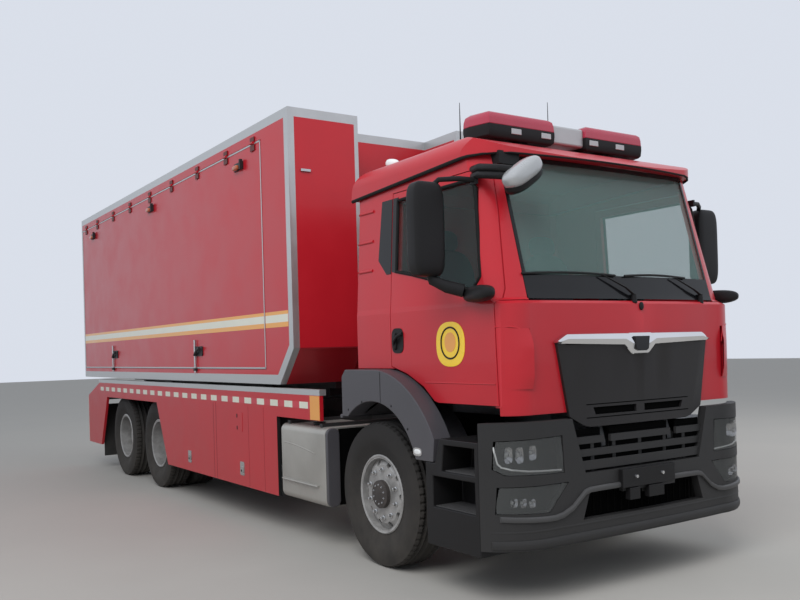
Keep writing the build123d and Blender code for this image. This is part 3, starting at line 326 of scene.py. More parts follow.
def finish(name, colour, roughness, blotch, metallic=0.0, coat=0.0, blotch_scale=2.5, grain=0.0, grain_scale=300.0,
           dust=0.0, dust_top=1.2, alpha=1.0, ior=1.5, stretch=(1.0, 1.0, 1.0)):
    """A finish whose colour varies in soft blotches by a share, with a fine grain and dust near the ground."""
    made = finishes[name] = bpy.data.materials.new(name)
    made.use_nodes = True
    tree = made.node_tree
    shader = tree.nodes["Principled BSDF"]
    for key, value in (("Metallic", metallic), ("Coat Weight", coat), ("Coat Roughness", 0.03),
                       ("Alpha", alpha), ("IOR", ior)):
        shader.inputs[key].default_value = value
    place = add(tree, "TexCoord", output="Object")
    stretched = add(tree, "Mapping", place, Scale=stretch)
    patches = add(tree, "TexNoise", stretched, output="Fac", Scale=blotch_scale, Detail=5.0, Roughness=0.6)
    tone = add(tree, "ValToRGB", patches)
    for stop, position, share in zip(tone.node.color_ramp.elements, (0.3, 0.7), (1 - blotch, 1 + blotch)):
        stop.position = position
        stop.color = (*[min(1.0, channel * share) for channel in colour], 1)
    if dust:
        height = add(tree, "SeparateXYZ", place, output="Z")
        low = add(tree, "MapRange", height, **{"From Min": 0.0, "From Max": dust_top, "To Min": dust, "To Max": 0.0})
        spots = add(tree, "TexNoise", place, output="Fac", Scale=7.0, Detail=8.0, Roughness=0.7)
        amount = add(tree, "Math", low, spots, operation="MULTIPLY")
        clean, tone = tone, add(tree, "Mix", output=2, data_type="RGBA", Factor=amount)
        join(clean, tone.node, 6)
        tone.node.inputs[7].default_value = (0.33, 0.29, 0.24, 1)
    join(tone, shader, "Base Color")
    gloss = add(tree, "MapRange", patches, **{"From Min": 0.3, "From Max": 0.7, "To Min": roughness * 0.85,
                                              "To Max": min(1.0, roughness * 1.15)})
    join(gloss, shader, "Roughness")
    if grain:
        fine = add(tree, "TexNoise", stretched, output="Fac", Scale=grain_scale, Detail=3.0, Roughness=0.5)
        join(add(tree, "Bump", Strength=grain, Distance=0.002, Height=fine), shader, "Normal")
    return made


finish("red_paint", (0.45, 0.011, 0.02), 0.34, 0.04, coat=0.18, dust=0.06, dust_top=1.0)
# Darker red for pressed seams: painted shade in the grooves
finish("seam_red", (0.2, 0.008, 0.013), 0.5, 0.05)
finish("hinge_steel", (0.11, 0.025, 0.022), 0.5, 0.15, metallic=0.2, grain=0.2)
finish("aluminium", (0.56, 0.57, 0.57), 0.38, 0.08, metallic=0.75, grain=0.12, grain_scale=60.0,
       stretch=(1, 0.1, 1))
finish("tank_skin", (0.42, 0.41, 0.38), 0.45, 0.12, metallic=0.55, grain=0.1, dust=0.35, dust_top=1.1)
finish("chassis_paint", (0.02, 0.02, 0.021), 0.5, 0.15, grain=0.15, dust=0.12, ior=1.4)
finish("hook_paint", (0.03, 0.03, 0.033), 0.42, 0.12, grain=0.1, dust=0.15)
finish("engine_metal", (0.16, 0.165, 0.17), 0.6, 0.2, metallic=0.5, grain=0.3)
finish("spring_paint", (0.05, 0.05, 0.052), 0.55, 0.2, grain=0.3, dust=0.4)
finish("bumper_plastic", (0.025, 0.0245, 0.025), 0.55, 0.08, grain=0.35, grain_scale=700.0, dust=0.04, ior=1.38)
finish("accent_plastic", (0.062, 0.061, 0.062), 0.42, 0.06, grain=0.2, grain_scale=600.0, ior=1.4)
finish("fender_plastic", (0.062, 0.06, 0.068), 0.42, 0.07, grain=0.2, grain_scale=600.0, dust=0.1)
finish("black_plastic", (0.011, 0.0105, 0.011), 0.45, 0.1, grain=0.25, grain_scale=500.0, ior=1.33)
# Near-black rough finish that stands in for the shade in gaps, openings, recesses and under the cab: painted shade
finish("dark_gap", (0.003, 0.003, 0.003), 0.9, 0.1, ior=1.1)
finish("grille_plastic", (0.017, 0.0155, 0.016), 0.42, 0.06, grain=0.15, grain_scale=500.0, ior=1.4)
finish("gloss_black", (0.007, 0.007, 0.008), 0.14, 0.1, ior=1.42)
finish("rubber", (0.014, 0.014, 0.014), 0.8, 0.15, grain=0.3, ior=1.3)
finish("tyre_rubber", (0.022, 0.021, 0.021), 0.82, 0.2, blotch_scale=5.0, grain=0.35, dust=0.2, dust_top=1.1,
       ior=1.33)
finish("wheel_paint", (0.33, 0.325, 0.32), 0.4, 0.3, metallic=0.35, blotch_scale=9.0, grain=0.15, dust=0.2,
       dust_top=1.0)
finish("hub_metal", (0.06, 0.052, 0.048), 0.6, 0.3, metallic=0.3, blotch_scale=12.0, grain=0.3)
finish("bright_steel", (0.62, 0.62, 0.62), 0.25, 0.1, metallic=1.0)
finish("chrome", (0.8, 0.8, 0.81), 0.07, 0.03, metallic=1.0)
finish("glass", (0.17, 0.28, 0.26), 0.04, 0.02, alpha=0.3, ior=1.6)
finish("side_glass", (0.02, 0.05, 0.045), 0.04, 0.02, alpha=0.28)
finish("clear_lens", (0.12, 0.125, 0.125), 0.05, 0.02, alpha=0.3)
finish("lamp_white", (0.6, 0.61, 0.6), 0.2, 0.03, coat=0.3)
finish("red_lens", (0.36, 0.02, 0.05), 0.14, 0.08, coat=0.6)
finish("amber_lens", (0.75, 0.22, 0.01), 0.15, 0.06, coat=0.6)
finish("side_lens", (0.42, 0.1, 0.03), 0.2, 0.08, coat=0.5)
finish("white_lens", (0.75, 0.76, 0.76), 0.18, 0.05, coat=0.6)
finish("silver_shell", (0.42, 0.43, 0.44), 0.3, 0.05, metallic=0.3, coat=0.4)
finish("cab_trim", (0.05, 0.052, 0.055), 0.65, 0.1, grain=0.3, grain_scale=500.0)
finish("seat_cloth", (0.035, 0.038, 0.045), 0.9, 0.15, grain=0.5, grain_scale=900.0)
finish("container_steel", (0.09, 0.09, 0.095), 0.5, 0.15, metallic=0.3, grain=0.2)
finish("stripe_white", (0.66, 0.66, 0.56), 0.35, 0.04, coat=0.5)
finish("stripe_yellow", (0.75, 0.33, 0.04), 0.35, 0.04, coat=0.5)
finish("tape_red", (0.5, 0.03, 0.05), 0.3, 0.05, coat=0.4)
finish("patch_orange", (0.72, 0.32, 0.07), 0.35, 0.06, coat=0.4)
finish("badge_yellow", (0.85, 0.56, 0.02), 0.3, 0.04, coat=0.5)
finish("mirror_glass", (0.8, 0.82, 0.83), 0.02, 0.01, metallic=1.0)

looks = {
    "chassis_paint": "frame cross_members driveline axles rear_bar knuckle_left knuckle_right",
    "hook_paint": "subframe tip_frame jib lift_barrels",
    "red_paint": "skirts cab_front cab_sides cab_rear cab_roof door_left door_right container_front"
                 " container_roof container_sides side_door_left side_door_right rear_door",
    "cab_trim": "cab_floor dash seat_bases",
    "aluminium": "skirt_rails container_frame",
    "container_steel": "hook_bar container_floor",
    "side_glass": "door_glass_left door_glass_right",
    "engine_metal": "engine", "spring_paint": "springs", "bumper_plastic": "bumper", "black_plastic": "steps",
    "fender_plastic": "fenders", "tank_skin": "tanks", "glass": "windscreen", "grille_plastic": "grille",
    "chrome": "lift_rods",
    "wheel_paint": " ".join("rim_" + name for name in wheel_names),
}
for look, dressed_nodes in looks.items():
    for node in dressed_nodes.split():
        data = nodes[node].data
        for index in range(len(data.materials)):
            data.materials[index] = finishes[look]

edge_widths = {"bumper": 0.007, "cab_front": 0.006, "grille": 0.006, "fenders": 0.008, "steps": 0.008,
               "container_frame": 0.004, "door_left": 0.004, "door_right": 0.004, "skirts": 0.003, "tanks": 0.006}
for node, width in edge_widths.items():
    dressed(node, width)

# Skins of the cab and the bumper, as functions of place, for whatever lies on them
skin_heights = (1.06, 1.862, 1.9, 2.88)
skin_columns = {
    "wide": (1.12, 1.12, 1.115, 1.055), "nose": (-1.44, -1.44, -1.41, -1.155),
    "brow_x": (0.9, 0.9, 0.9, 0.85), "brow": (-1.415, -1.415, -1.372, -1.125),
    "bend_x": (1.06, 1.06, 1.04, 0.985), "bend": (-1.378, -1.378, -1.312, -1.07),
    "cheek": (-1.31, -1.31, -1.235, -0.98),
}
bumper_skin = (-1.5, (0.82, -1.478), (1.12, -1.4), (1.25, -1.271))


def skin_face(x, nose, brow, bend, cheek):
    """Distance of a front skin: a shallow bow from its nose to its brow, then a rounder corner.

    The corner is the front of the circle through three (x, distance) points: brow, bend and cheek."""
    x = np.abs(x)
    bow = nose + (brow[1] - nose) * (x / brow[0]) ** 2
    (ax, ay), (bx, by), (cx, cy) = brow, bend, cheek
    scale = 2 * (ax * (by - cy) + bx * (cy - ay) + cx * (ay - by))
    a, b, c = ax**2 + ay**2, bx**2 + by**2, cx**2 + cy**2
    middle_x = (a * (by - cy) + b * (cy - ay) + c * (ay - by)) / scale
    middle_y = (a * (cx - bx) + b * (ax - cx) + c * (bx - ax)) / scale
    radius = np.hypot(ax - middle_x, ay - middle_y)
    corner = middle_y - np.sqrt(np.maximum(radius**2 - (x - middle_x) ** 2, 0))
    return np.where(x <= brow[0], bow, corner)


def cab_face(x, z):
    """Distance of the cab's front skin."""
    wide, nose, brow_x, brow, bend_x, bend, cheek = (np.interp(z, skin_heights, column)
                                                     for column in skin_columns.values())
    return skin_face(x, nose, (brow_x, brow), (bend_x, bend), (wide, cheek))


def bumper_face(x):
    """Distance of the bumper's front skin."""
    return skin_face(x, *bumper_skin)


def cab_wide(z):
    """Half width of the cab's side at a height."""
    return np.interp(z, skin_heights, skin_columns["wide"])


def on_cab(x, z, proud=0.0):
    """Points at x and z that stand proud of the cab's front skin by a distance."""
    return points_at(x, cab_face(*np.broadcast_arrays(x, z)) - proud, z)


def on_bumper(x, z, proud=0.0):
    """Points at x and z that stand proud of the bumper's skin by a distance."""
    return points_at(x, bumper_face(x) - proud, z)


def on_cab_side(outline, proud):
    """(distance, height) points, standing proud of the cab's left side by a distance."""
    distance, z = np.asarray(outline, float).T
    return points_at(cab_wide(z) + proud, distance, z)


def cab_sheet(x, z, proud, columns=40, rows=6, thick=0.002):
    """A sheet on the cab's front skin between x and z limits, standing proud by a distance."""
    return plate(on_cab(np.linspace(*x, columns), np.linspace(*z, rows)[:, None], proud), (0, thick, 0))


def side_sheet(outline, proud, thick):
    """A flat outline of (distance, height) points laid against the cab's left side."""
    return carried(np.stack([on_cab_side(outline, proud), on_cab_side(outline, proud - thick)]))


# Windscreen: the black band at its foot, its black border, and two wipers
border_proud, border_thick = 0.0012, 0.004
borders = [cab_sheet((-0.9, 0.9), (1.894, 2.05), border_proud, thick=border_thick),
           cab_sheet((-0.9, 0.9), (2.81, 2.842), border_proud, rows=3, thick=border_thick)]
borders += on_both([cab_sheet((0.88, 0.902), (1.9, 2.84), border_proud, 4, 12, border_thick)])
piece("screen_band", borders, "gloss_black", "clear_glass", "cab")

fittings = []
for pivot_x, pivot_z, elbow_x, blade in ((0.008, 1.915, -0.26, (-0.917, -0.12)),
                                         (0.748, 1.925, 0.47, (-0.03, 0.62))):
    foot = on_cab(pivot_x, pivot_z, 0.02)[1]
    elbow = on_cab(elbow_x, 2.05, 0.028)[1]
    fittings.append(turned([(1.868, 0), (1.868, 0.022), (pivot_z + 0.012, 0.018), (pivot_z + 0.016, 0)],
                           (pivot_x, foot, 0), axis=2, sides=24))
    middle = (pivot_x * 0.7 + elbow_x * 0.3, foot * 0.7 + elbow * 0.3 - 0.012, 1.97)
    fittings.append(tube([(pivot_x, foot - 0.004, pivot_z + 0.006), middle, (elbow_x, elbow, 2.055)],
                         (0.013, 0.010, 0.006), sides=10, flat=0.6))
    bow = 2.052 + 0.012 * np.sin(np.linspace(0, np.pi, 24))
    fittings.append(tube(on_cab(np.linspace(*blade, 24), bow, 0.012), 0.008, 8))

# Front mirror: a rounded shell on an arm from the roof corner, and its black underside
mirror_spot = np.array([-0.945, -1.405, 2.672])
mirror_tilt = (0, 33, 0)
for lift in (0.0, -0.045):
    fittings.append(tube([(-1.03, -1.02, 2.75 + lift), (-1.085, -1.16, 2.735 + lift),
                          (-1.06, -1.33, 2.70 + lift), mirror_spot + (-0.03, 0.01, 0.01 + lift)], 0.025))
fittings.append(egg(mirror_spot + (0.028, 0.02, -0.036), (0.152, 0.072, 0.058), 2.8, tilt=mirror_tilt))
fittings.append(block((-0.945, -0.775), (-1.19, -1.1), (2.772, 2.855)))
# Aerials with their feet
for x, distance, low, high in ((0.15, -0.5, 3.0, 3.48), (-0.76, -0.56, 2.98, 3.34)):
    fittings.append(turned([(low, 0), (low, 0.024), (low + 0.03, 0.02), (low + 0.055, 0.006), (high, 0.002),
                            (high, 0)], (x, distance, 0), axis=2, sides=20))
# Washer nozzle
fittings.append(egg(on_cab(0.06, 1.845, 0.004), (0.02, 0.012, 0.028), 2.2, 12, 16))
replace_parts(piece("wipers_and_aerials", fittings, "black_plastic", "mirror_grey", "cab"), "cab_fittings")
shell = egg(mirror_spot, (0.155, 0.08, 0.062), 2.8, tilt=mirror_tilt)
piece("front_mirror_shell", [shell], "silver_shell", "mirror_grey", "cab")
pane = egg(mirror_spot + (0.034, 0.034, -0.048), (0.13, 0.056, 0.048), 2.8, tilt=mirror_tilt)
piece("front_mirror_glass", [pane], "mirror_glass", "mirror_grey", "cab")

# Grille: chrome strip with a dip in the middle, its dark inset, ribs and slots
strip_x = np.concatenate([np.linspace(-0.744, -0.66, 6), np.linspace(-0.6, -0.2, 9), np.linspace(-0.15, 0.15, 25),
                          np.linspace(0.2, 0.6, 9), np.linspace(0.66, 0.744, 6)])
strip_top = np.interp(np.abs(strip_x), (0, 0.664, 0.744), (1.664, 1.664, 1.62))
strip_foot = np.interp(np.abs(strip_x), (0, 0.08, 0.15, 0.66, 0.735, 0.744),
                       (1.523, 1.523, 1.585, 1.601, 1.603, 1.612))
# Share of the strip's height, and how far it stands proud there
strip_profile = np.array([(0, 0.002), (0, 0.033), (0.04, 0.0385), (0.5, 0.052), (0.96, 0.0385), (1, 0.033),
                          (1, 0.002)])
strip_z = strip_foot[:, None] + (strip_top - strip_foot)[:, None] * strip_profile[:, 0]
strip = carried(on_cab(strip_x[:, None], strip_z, strip_profile[:, 1]))
piece("grille_strip", [strip], "chrome", "grille_grey", "cab", angle=24)
inset = prism([(-0.075, 1.642), (0.075, 1.642), (0.062, 1.556), (0.04, 1.544), (-0.04, 1.544), (-0.062, 1.556)],
              1, -1.498, -1.478)
piece("grille_inset", [inset], "gloss_black", "grille_grey", "cab", bevel=0.004)
slot_proud, seam_proud, seam_tall = 0.003, 0.0235, 0.006
# The slots and seams are near-black sheets on the skin: painted shade in the grille's openings and gaps
grille_gaps = on_both([cab_sheet((0.03, 0.455), (1.128, 1.2), slot_proud, 8, 2)])
grille_gaps.append(cab_sheet((-0.66, 0.66), (1.595, 1.603), seam_proud, 24, 2))
for z in (1.205, 1.119):
    grille_gaps.append(cab_sheet((-0.5, 0.5), (z, z + seam_tall), seam_proud, 24, 2))
piece("grille_slots", grille_gaps, "dark_gap", "grille_grey", "cab")

# Recess below the grille: a dark backing of painted shade behind fine near-black ribs, open above where the cab's
# pivot arms pass
shade_sheet_y, rib_y, upper_z = (-1.438, -1.434), (-1.4415, -1.438), (0.874, 1.055)
mesh_and_shade = [block((-0.62, 0.62), shade_sheet_y, (0.79, 0.872))]
mesh_and_shade += on_both([block((0.368, 0.62), shade_sheet_y, upper_z)])
mesh_and_shade.append(block((-0.284, 0.284), shade_sheet_y, upper_z))
for z in np.arange(0.88, 1.05, 0.014):
    mesh_and_shade.append(block((-0.28, 0.28), rib_y, (z, z + 0.005)))
    mesh_and_shade += on_both([block((0.372, 0.61), rib_y, (z, z + 0.005))])
piece("recess_mesh_and_shade", mesh_and_shade, "dark_gap", "bumper_grey")
# Lower opening: a near-black top lining and upright ribs, and a dark sheet behind them that is painted shade
opening = [block((-0.56, 0.56), (-1.4345, -1.431), (0.625, 0.66)),
           block((-0.54, 0.54), (-1.405, -1.4), (0.47, 0.66))]
for x in np.arange(-0.52, 0.53, 0.065):
    opening.append(block((x, x + 0.008), (-1.445, -1.4345), (0.5, 0.655)))
piece("lower_mesh_and_shade", opening, "dark_gap", "bumper_grey")

# Bumper: the light ledge that runs from under the fog lamps up to the lower opening, and the lip
ledge_x = np.array([0.0, 0.2, 0.4, 0.53, 0.575, 0.68, 0.76, 0.82, 0.9, 1.0, 1.1, 1.17])
ledge_z = np.array([0.677, 0.677, 0.675, 0.672, 0.66, 0.575, 0.54, 0.53, 0.531, 0.535, 0.541, 0.546])
# How far out and how high the ledge's edge is, as shares of proud and tall
ledge_profile = np.array([(0.0, -0.5), (0.8, -0.42), (1.0, -0.1), (0.9, 0.3), (0.55, 0.5), (0.0, 0.5)])


def ledge(x, z, tall, proud, sunk=0.006):
    """A rounded ledge carried along the bumper's skin."""
    out, up = ledge_profile.T
    return carried(on_bumper(x[:, None], z[:, None] + tall * up, proud * out - sunk))


full_x = np.concatenate([-ledge_x[:0:-1], ledge_x])
full_z = np.concatenate([ledge_z[:0:-1], ledge_z])
piece("bumper_ledge", [ledge(full_x, full_z, 0.036, 0.026)], "accent_plastic", "bumper_grey")
lip_x = np.linspace(-1.21, 1.21, 60)
lips = [ledge(lip_x, z + 0 * lip_x, tall, proud) for z, tall, proud in ((0.385, 0.055, 0.02), (0.462, 0.02, 0.008))]
piece("bumper_lip", lips, "bumper_plastic", "bumper_grey")
bolt = [(-1.545, 0), (-1.545, 0.011), (-1.534, 0.014), (-1.53, 0)]
piece("plate_bolts", [turned(bolt, (x, 0, 0.722), axis=1, sides=18) for x in (-0.142, 0.113)], "bright_steel",
      "bumper_grey")
bracket = [block((-0.27, 0.245), (-1.534, -1.496), (0.655, 0.775))]
bracket += [block(x, (-1.534, -1.49), (0.572, 0.65)) for x in ((-0.205, -0.107), (-0.02, 0.13))]
piece("plate_bracket", bracket, "black_plastic", "bumper_grey", bevel=0.004)

# The smooth panel at the foot of the recess
panel = plate(on_bumper(np.linspace(-0.6, 0.6, 30), np.linspace(0.795, 0.855, 3)[:, None], -0.014), (0, 0.006, 0))
piece("recess_panel", [panel], "bumper_plastic", "bumper_grey", bevel=0.002)


# Headlamps and fog lamps: dark bowls of painted shade at the back of the lamps, reflectors, a light edge, and clear
# covers on the bumper's skin

def edges_at(outline, x):
    """Lowest and highest z of a closed outline at each x."""
    span_x, span_z = (np.roll(outline, -1, axis=0) - outline).T
    share = (x[:, None] - outline[:, 0]) / np.where(np.abs(span_x) < 1e-9, 1e-9, span_x)
    z = outline[:, 1] + share * span_z
    inside = (share >= -1e-6) & (share <= 1 + 1e-6)
    return np.where(inside, z, np.inf).min(1), np.where(inside, z, -np.inf).max(1)


def cover(outline, proud, thick, rows=14, columns=30, margin=0.004):
    """A cover on the bumper's skin: between the outline's lower and upper edge at each x."""
    outline = np.asarray(outline, float)
    x = np.linspace(outline[:, 0].min() + margin, outline[:, 0].max() - margin, columns)
    low, high = edges_at(outline, x)
    share = np.linspace(0, 1, rows)[:, None]
    return plate(on_bumper(x, low * (1 - share) + high * share, proud), (0, thick, 0))


def reflector(x, z, wide, tall, rows=7, columns=40):
    """A lamp unit: a rounded frame round a bright bowl that dips to its middle."""
    share = np.linspace(0, 1, rows)[::-1, None]
    turn = around(columns)
    ring = [np.sign(wave) * np.abs(wave) ** 0.55 for wave in (np.cos(turn), np.sin(turn))]
    grid = points_at(x + wide * share * ring[0], bumper_face(x) + 0.022 + 0.035 * (1 - share**2),
                     z + tall * share * ring[1])
    return plate(grid, (0, 0.006, 0), wrap=True)


head_outline = [(0.75, 1.03), (1.185, 1.016), (1.195, 0.85), (1.137, 0.813), (0.74, 0.804)]
fog_outline = [(0.71, 0.736), (1.175, 0.736), (1.185, 0.579), (0.863, 0.57)]
# Lamp units: place x and z, half sizes, and the bulb's radius
lamp_table = ((1.108, 0.932, 0.033, 0.05, 0.017), (1.045, 0.93, 0.03, 0.05, 0.017),
              (0.964, 0.94, 0.03, 0.045, 0.014), (1.085, 0.64, 0.03, 0.027, 0.013),
              (1.03, 0.637, 0.024, 0.027, 0.011), (0.975, 0.632, 0.026, 0.027, 0.012))
edge_x = np.concatenate([np.linspace(1.186, 1.168, 8), np.linspace(1.15, 1.095, 6), np.linspace(1.0, 0.752, 12)])
edge_z = np.concatenate([np.linspace(0.985, 0.882, 8), np.linspace(0.86, 0.842, 6), np.linspace(0.83, 0.818, 12)])
pair("lamp_edges", [tube(on_bumper(edge_x, edge_z, -0.012), 0.0065, 10)], "lamp_white", "lamp_lens")
# Near-black bowls behind the reflectors: painted shade in the lamps' depth
bowls = [cover(head_outline, -0.062, 0.006), cover(fog_outline, -0.05, 0.006)]
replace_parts(pair("lamp_shade_bowls", bowls, "dark_gap", "lamp_lens"), "headlamps")
pair("lamp_reflectors", [reflector(*unit[:4]) for unit in lamp_table], "chrome", "lamp_lens", angle=60)
bulbs = [egg(on_bumper(x, z, -0.045), (bulb, 0.012, bulb), 2.0, 12, 20) for x, z, wide, tall, bulb in lamp_table]
pair("lamp_lenses", bulbs, "lamp_white", "lamp_lens")
covers = [cover(head_outline, -0.001, 0.004), cover(fog_outline, -0.003, 0.004)]
pair("lamp_covers", covers, "clear_lens", "lamp_lens")

# Red corner panels: a raised curved crease
crease_x = np.array([1.12, 1.06, 1.03, 1.0, 0.978, 0.96, 0.95])
crease_z = np.array([1.718, 1.717, 1.712, 1.7, 1.68, 1.64, 1.59])
pair("corner_creases", [tube(on_cab(crease_x, crease_z, -0.001), 0.006, 10)], "red_paint", "truck_red", "cab")
# A lip over each deflector slot: it rises from the corner towards its free edge, open to the middle
lip_z = np.linspace(1.33, 1.706, 20)[:, None]
lip_share = np.linspace(0, 1, 12)
lip_free = np.interp(lip_z, (1.33, 1.56, 1.66, 1.706), (0.93, 0.932, 0.936, 0.95))
lip_x = lip_free + (1.09 - lip_free) * lip_share
lip_rise = np.interp(lip_z, (1.33, 1.4, 1.6, 1.706), (0.012, 0.03, 0.034, 0.008))
deflector = plate(on_cab(lip_x, lip_z, 0.001 + lip_rise * (1 - lip_share) ** 1.6), (0, 0.003, 0))
pair("deflector_lips", [deflector], "red_paint", "truck_red", "cab")
pair("deflector_liners", [cab_sheet((0.968, 1.05), (1.34, 1.65), 0.0005, 8, 12)], "black_plastic", "grille_grey",
     "cab")
vane = plate(on_cab(np.linspace(0.938, 0.972, 4), np.linspace(1.335, 1.70, 16)[:, None], -0.028), (0, 0.004, 0))
pair("deflector_vanes", [vane], "black_plastic", "grille_grey", "cab")

# Doors: seals, black pillar trim, handle, badge and mirrors
trim_proud, trim_thick = 0.004, 0.006
window = np.array([(-0.195, 2.16), (-0.395, 2.121), (-1.085, 1.96), (-1.165, 2.043), (-1.092, 2.62),
                   (-1.05, 2.68), (-0.195, 2.68), (-0.195, 2.16)])
seal_line = np.concatenate([np.linspace(a, b, 12, endpoint=False) for a, b in zip(window, window[1:])]
                           + [window[:1]])
door_trim = [(-0.138, 2.165), (-0.205, 2.148), (-0.205, 2.70), (-0.138, 2.70)]
ring_line = oval((-0.85, 1.63), (0.098, 0.103), 2.1, 40)
ring_line = np.concatenate([ring_line, ring_line[:1]])
crease_line = points_at(1.1195, np.linspace(-0.55, -1.3, 30), 1.365)
grip = [side_sheet(oval((-0.222, 1.66), (0.075, 0.09), 3.4), trim_proud, 0.01),
        egg((1.128, -0.195, 1.655), (0.012, 0.02, 0.062), 3.0, 14, 18),
        tube([(1.126, -0.285, 1.71), (1.148, -0.25, 1.69), (1.148, -0.215, 1.66),
              (1.126, -0.18, 1.62)], 0.011, 10)]
# Main mirror: a tall rounded housing with its glass behind, on an upper arm and a long foot
housing = [egg((1.377, -0.965, 2.352), (0.117, 0.067, 0.3), 5.5, 32, 44),
           egg((1.165, -1.215, 1.93), (0.06, 0.18, 0.052), 2.6, 24, 36, tilt=(0, 0, 14)),
           tube([(1.19, -1.1, 1.955), (1.27, -1.03, 1.985), (1.33, -0.965, 2.03),
                 (1.345, -0.955, 2.1)], (0.042, 0.04, 0.036, 0.034), sides=14),
           tube([(1.07, -1.09, 2.668), (1.18, -1.07, 2.672), (1.29, -1.0, 2.668),
                 (1.33, -0.96, 2.62)], 0.017),
           block((1.0655, 1.082), (-1.12, -1.06), (2.64, 2.69))]
panes = [egg((1.377, -0.901, z), (0.09, 0.013, tall), 4.5, 16, 32) for z, tall in ((2.45, 0.175), (2.165, 0.08))]
pieces_by_side("door_", [
    ("window_seal_%s", [tube(on_cab_side(seal_line, -0.002), 0.012, 8)], "rubber", "mirror_grey"),
    ("pillar_trim_%s", [side_sheet(door_trim, trim_proud, trim_thick)], "gloss_black", "mirror_grey"),
    ("door_handle_%s", grip, "black_plastic", "mirror_grey"),
    ("door_badge_%s", [side_sheet(oval((-0.85, 1.622), (0.155, 0.148), 2.5), 0.003, 0.004)], "badge_yellow",
     "truck_red"),
    ("badge_ring_%s", [tube(on_cab_side(ring_line, 0.0035), 0.006, 6)], "black_plastic", "truck_red"),
    ("badge_centre_%s", [side_sheet(oval((-0.85, 1.635), (0.06, 0.065), 2.1, 32), 0.0045, 0.004)], "patch_orange",
     "truck_red"),
    ("door_crease_%s", [tube(crease_line, 0.0045, 8)], "red_paint", "truck_red"),
    ("mirror_housing_%s", housing, "black_plastic", "mirror_grey"),
    ("mirror_glass_%s", panes, "mirror_glass", "mirror_grey"),
])
for side, name in both_sides:
    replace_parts(bpy.data.objects["mirror_housing_" + name], "mirror_" + name)

# Cab sides and rear corners: black pillar trim and air ribs that turn round the corner
pillar = [(-0.127, 2.15), (-0.07, 2.15), (0.045, 2.262), (0.012, 2.70), (-0.127, 2.70)]
pair("pillar_trim_cab", [side_sheet(pillar, trim_proud, trim_thick)], "gloss_black", "mirror_grey", "cab")
ribs = []
corner_share, corner_size = 0.75, 0.09
for z in (2.648, 2.419, 2.197):
    turn = np.linspace(0, 1, 10)
    bent = corner_size * np.clip(turn - corner_share, 0, 1) * 4
    straight = 0.13 + 0.21 * np.minimum(turn / corner_share, 1)
    ribs.append(tube(points_at(cab_wide(z) - 0.002 - bent, straight + bent, z), 0.012, 10))
pair("corner_ribs", ribs, "red_paint", "truck_red", "cab")

# Roof: the dark rubber seal under its side edges, which runs on thinner across the front as a band of painted shadow
# under the roof's front edge, and a white horn
brow_x = np.linspace(0.78, 0.0, 8)
edge = np.concatenate([[(1.076, 0.43)], np.stack([np.full(12, 1.077), np.linspace(0.3, -0.96, 12)], axis=1),
                       [(1.068, -1.02), (1.015, -1.108), (0.94, -1.165), (0.86, -1.203)],
                       np.stack([brow_x, -1.26 + 0.057 * (brow_x / 0.86) ** 2], axis=1)])
edge_path = points_at(*edge.T, np.interp(edge[:, 1], (-1.262, 0.44), (2.85, 2.77)) - 0.004)
# Thinner across the front, where the dark band is painted shadow under the roof's edge
seal_and_shadow_radius = np.interp(edge[:, 1], (-1.15, -0.9), (0.007, 0.014))
pair("roof_seal_and_shadow", [tube(edge_path, seal_and_shadow_radius, 8)], "rubber", "mirror_grey", "cab")
piece("roof_horn", [egg((-0.93, 0.07, 3.012), (0.04, 0.072, 0.036), 2.4, 20, 28, tilt=(12, 0, 0))],
      "white_lens", "beacon_red", "cab")

# Light bar: two long modules, each a dark base under a red dome, with a silver middle and small lamps
bar_plan = np.array([(0.155, -0.65), (0.808, -0.65), (0.808, -0.72), (0.765, -0.885), (0.155, -0.885)])
bar_plan_top = np.array([(0.19, -0.685), (0.773, -0.685), (0.773, -0.715), (0.74, -0.855), (0.19, -0.855)])


def bar_part(levels):
    """A part of a module: its plan at each level, drawn in by a share towards the top plan."""
    height, drawn = np.array(levels).T[:, :, None]
    x, y = (foot * (1 - drawn) + top * drawn for foot, top in zip(bar_plan.T, bar_plan_top.T))
    return carried(points_at(x, y, height))


bar_base = [bar_part([(3.03, 0.6), (3.045, 0.15), (3.09, 0.0), (3.124, 0.0)]),
            prism([(-0.85, 2.97), (-0.73, 2.97), (-0.745, 3.05), (-0.835, 3.05)], 0, 0.38, 0.46)]
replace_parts(pair("light_bar_base", bar_base, "black_plastic", "beacon_red", "cab", bevel=0.004),
            "light_bar")
pair("light_bar_domes", [bar_part([(3.122, 0.0), (3.165, 0.08), (3.195, 0.3), (3.214, 1.0)])], "red_lens",
     "beacon_red", "cab", bevel=0.008)
piece("light_bar_middle", [block((-0.165, 0.165), (-0.86, -0.66), (3.05, 3.19))], "silver_shell", "beacon_red",
      "cab", bevel=0.02)
small = [block((x - 0.045, x + 0.045), (-0.89, -0.88), (3.068, 3.108)) for x in (-0.52, -0.24, 0.24, 0.52)]
piece("light_bar_lamps", small, "silver_shell", "beacon_red", "cab", bevel=0.004)

# Seats: crowned cushions with a headrest
for side, name in both_sides:
    x = side * 0.52
    pads = {"cushion": egg((x, -0.4, 1.715), (0.245, 0.235, 0.062), 3.6, 24, 40),
            "backrest": egg((x, -0.075, 2.06), (0.235, 0.062, 0.3), 3.4, 28, 40, tilt=(-11, 0, 0)),
            "headrest": egg((x, 0.005, 2.43), (0.13, 0.05, 0.085), 3.0, 20, 32, tilt=(-8, 0, 0))}
    for kind, shape in pads.items():
        pad = piece("seat_" + kind + "_" + name, [shape], "seat_cloth", "seat_fabric", "cab")
        if side > 0 and kind == "cushion":
            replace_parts(pad, "seats")

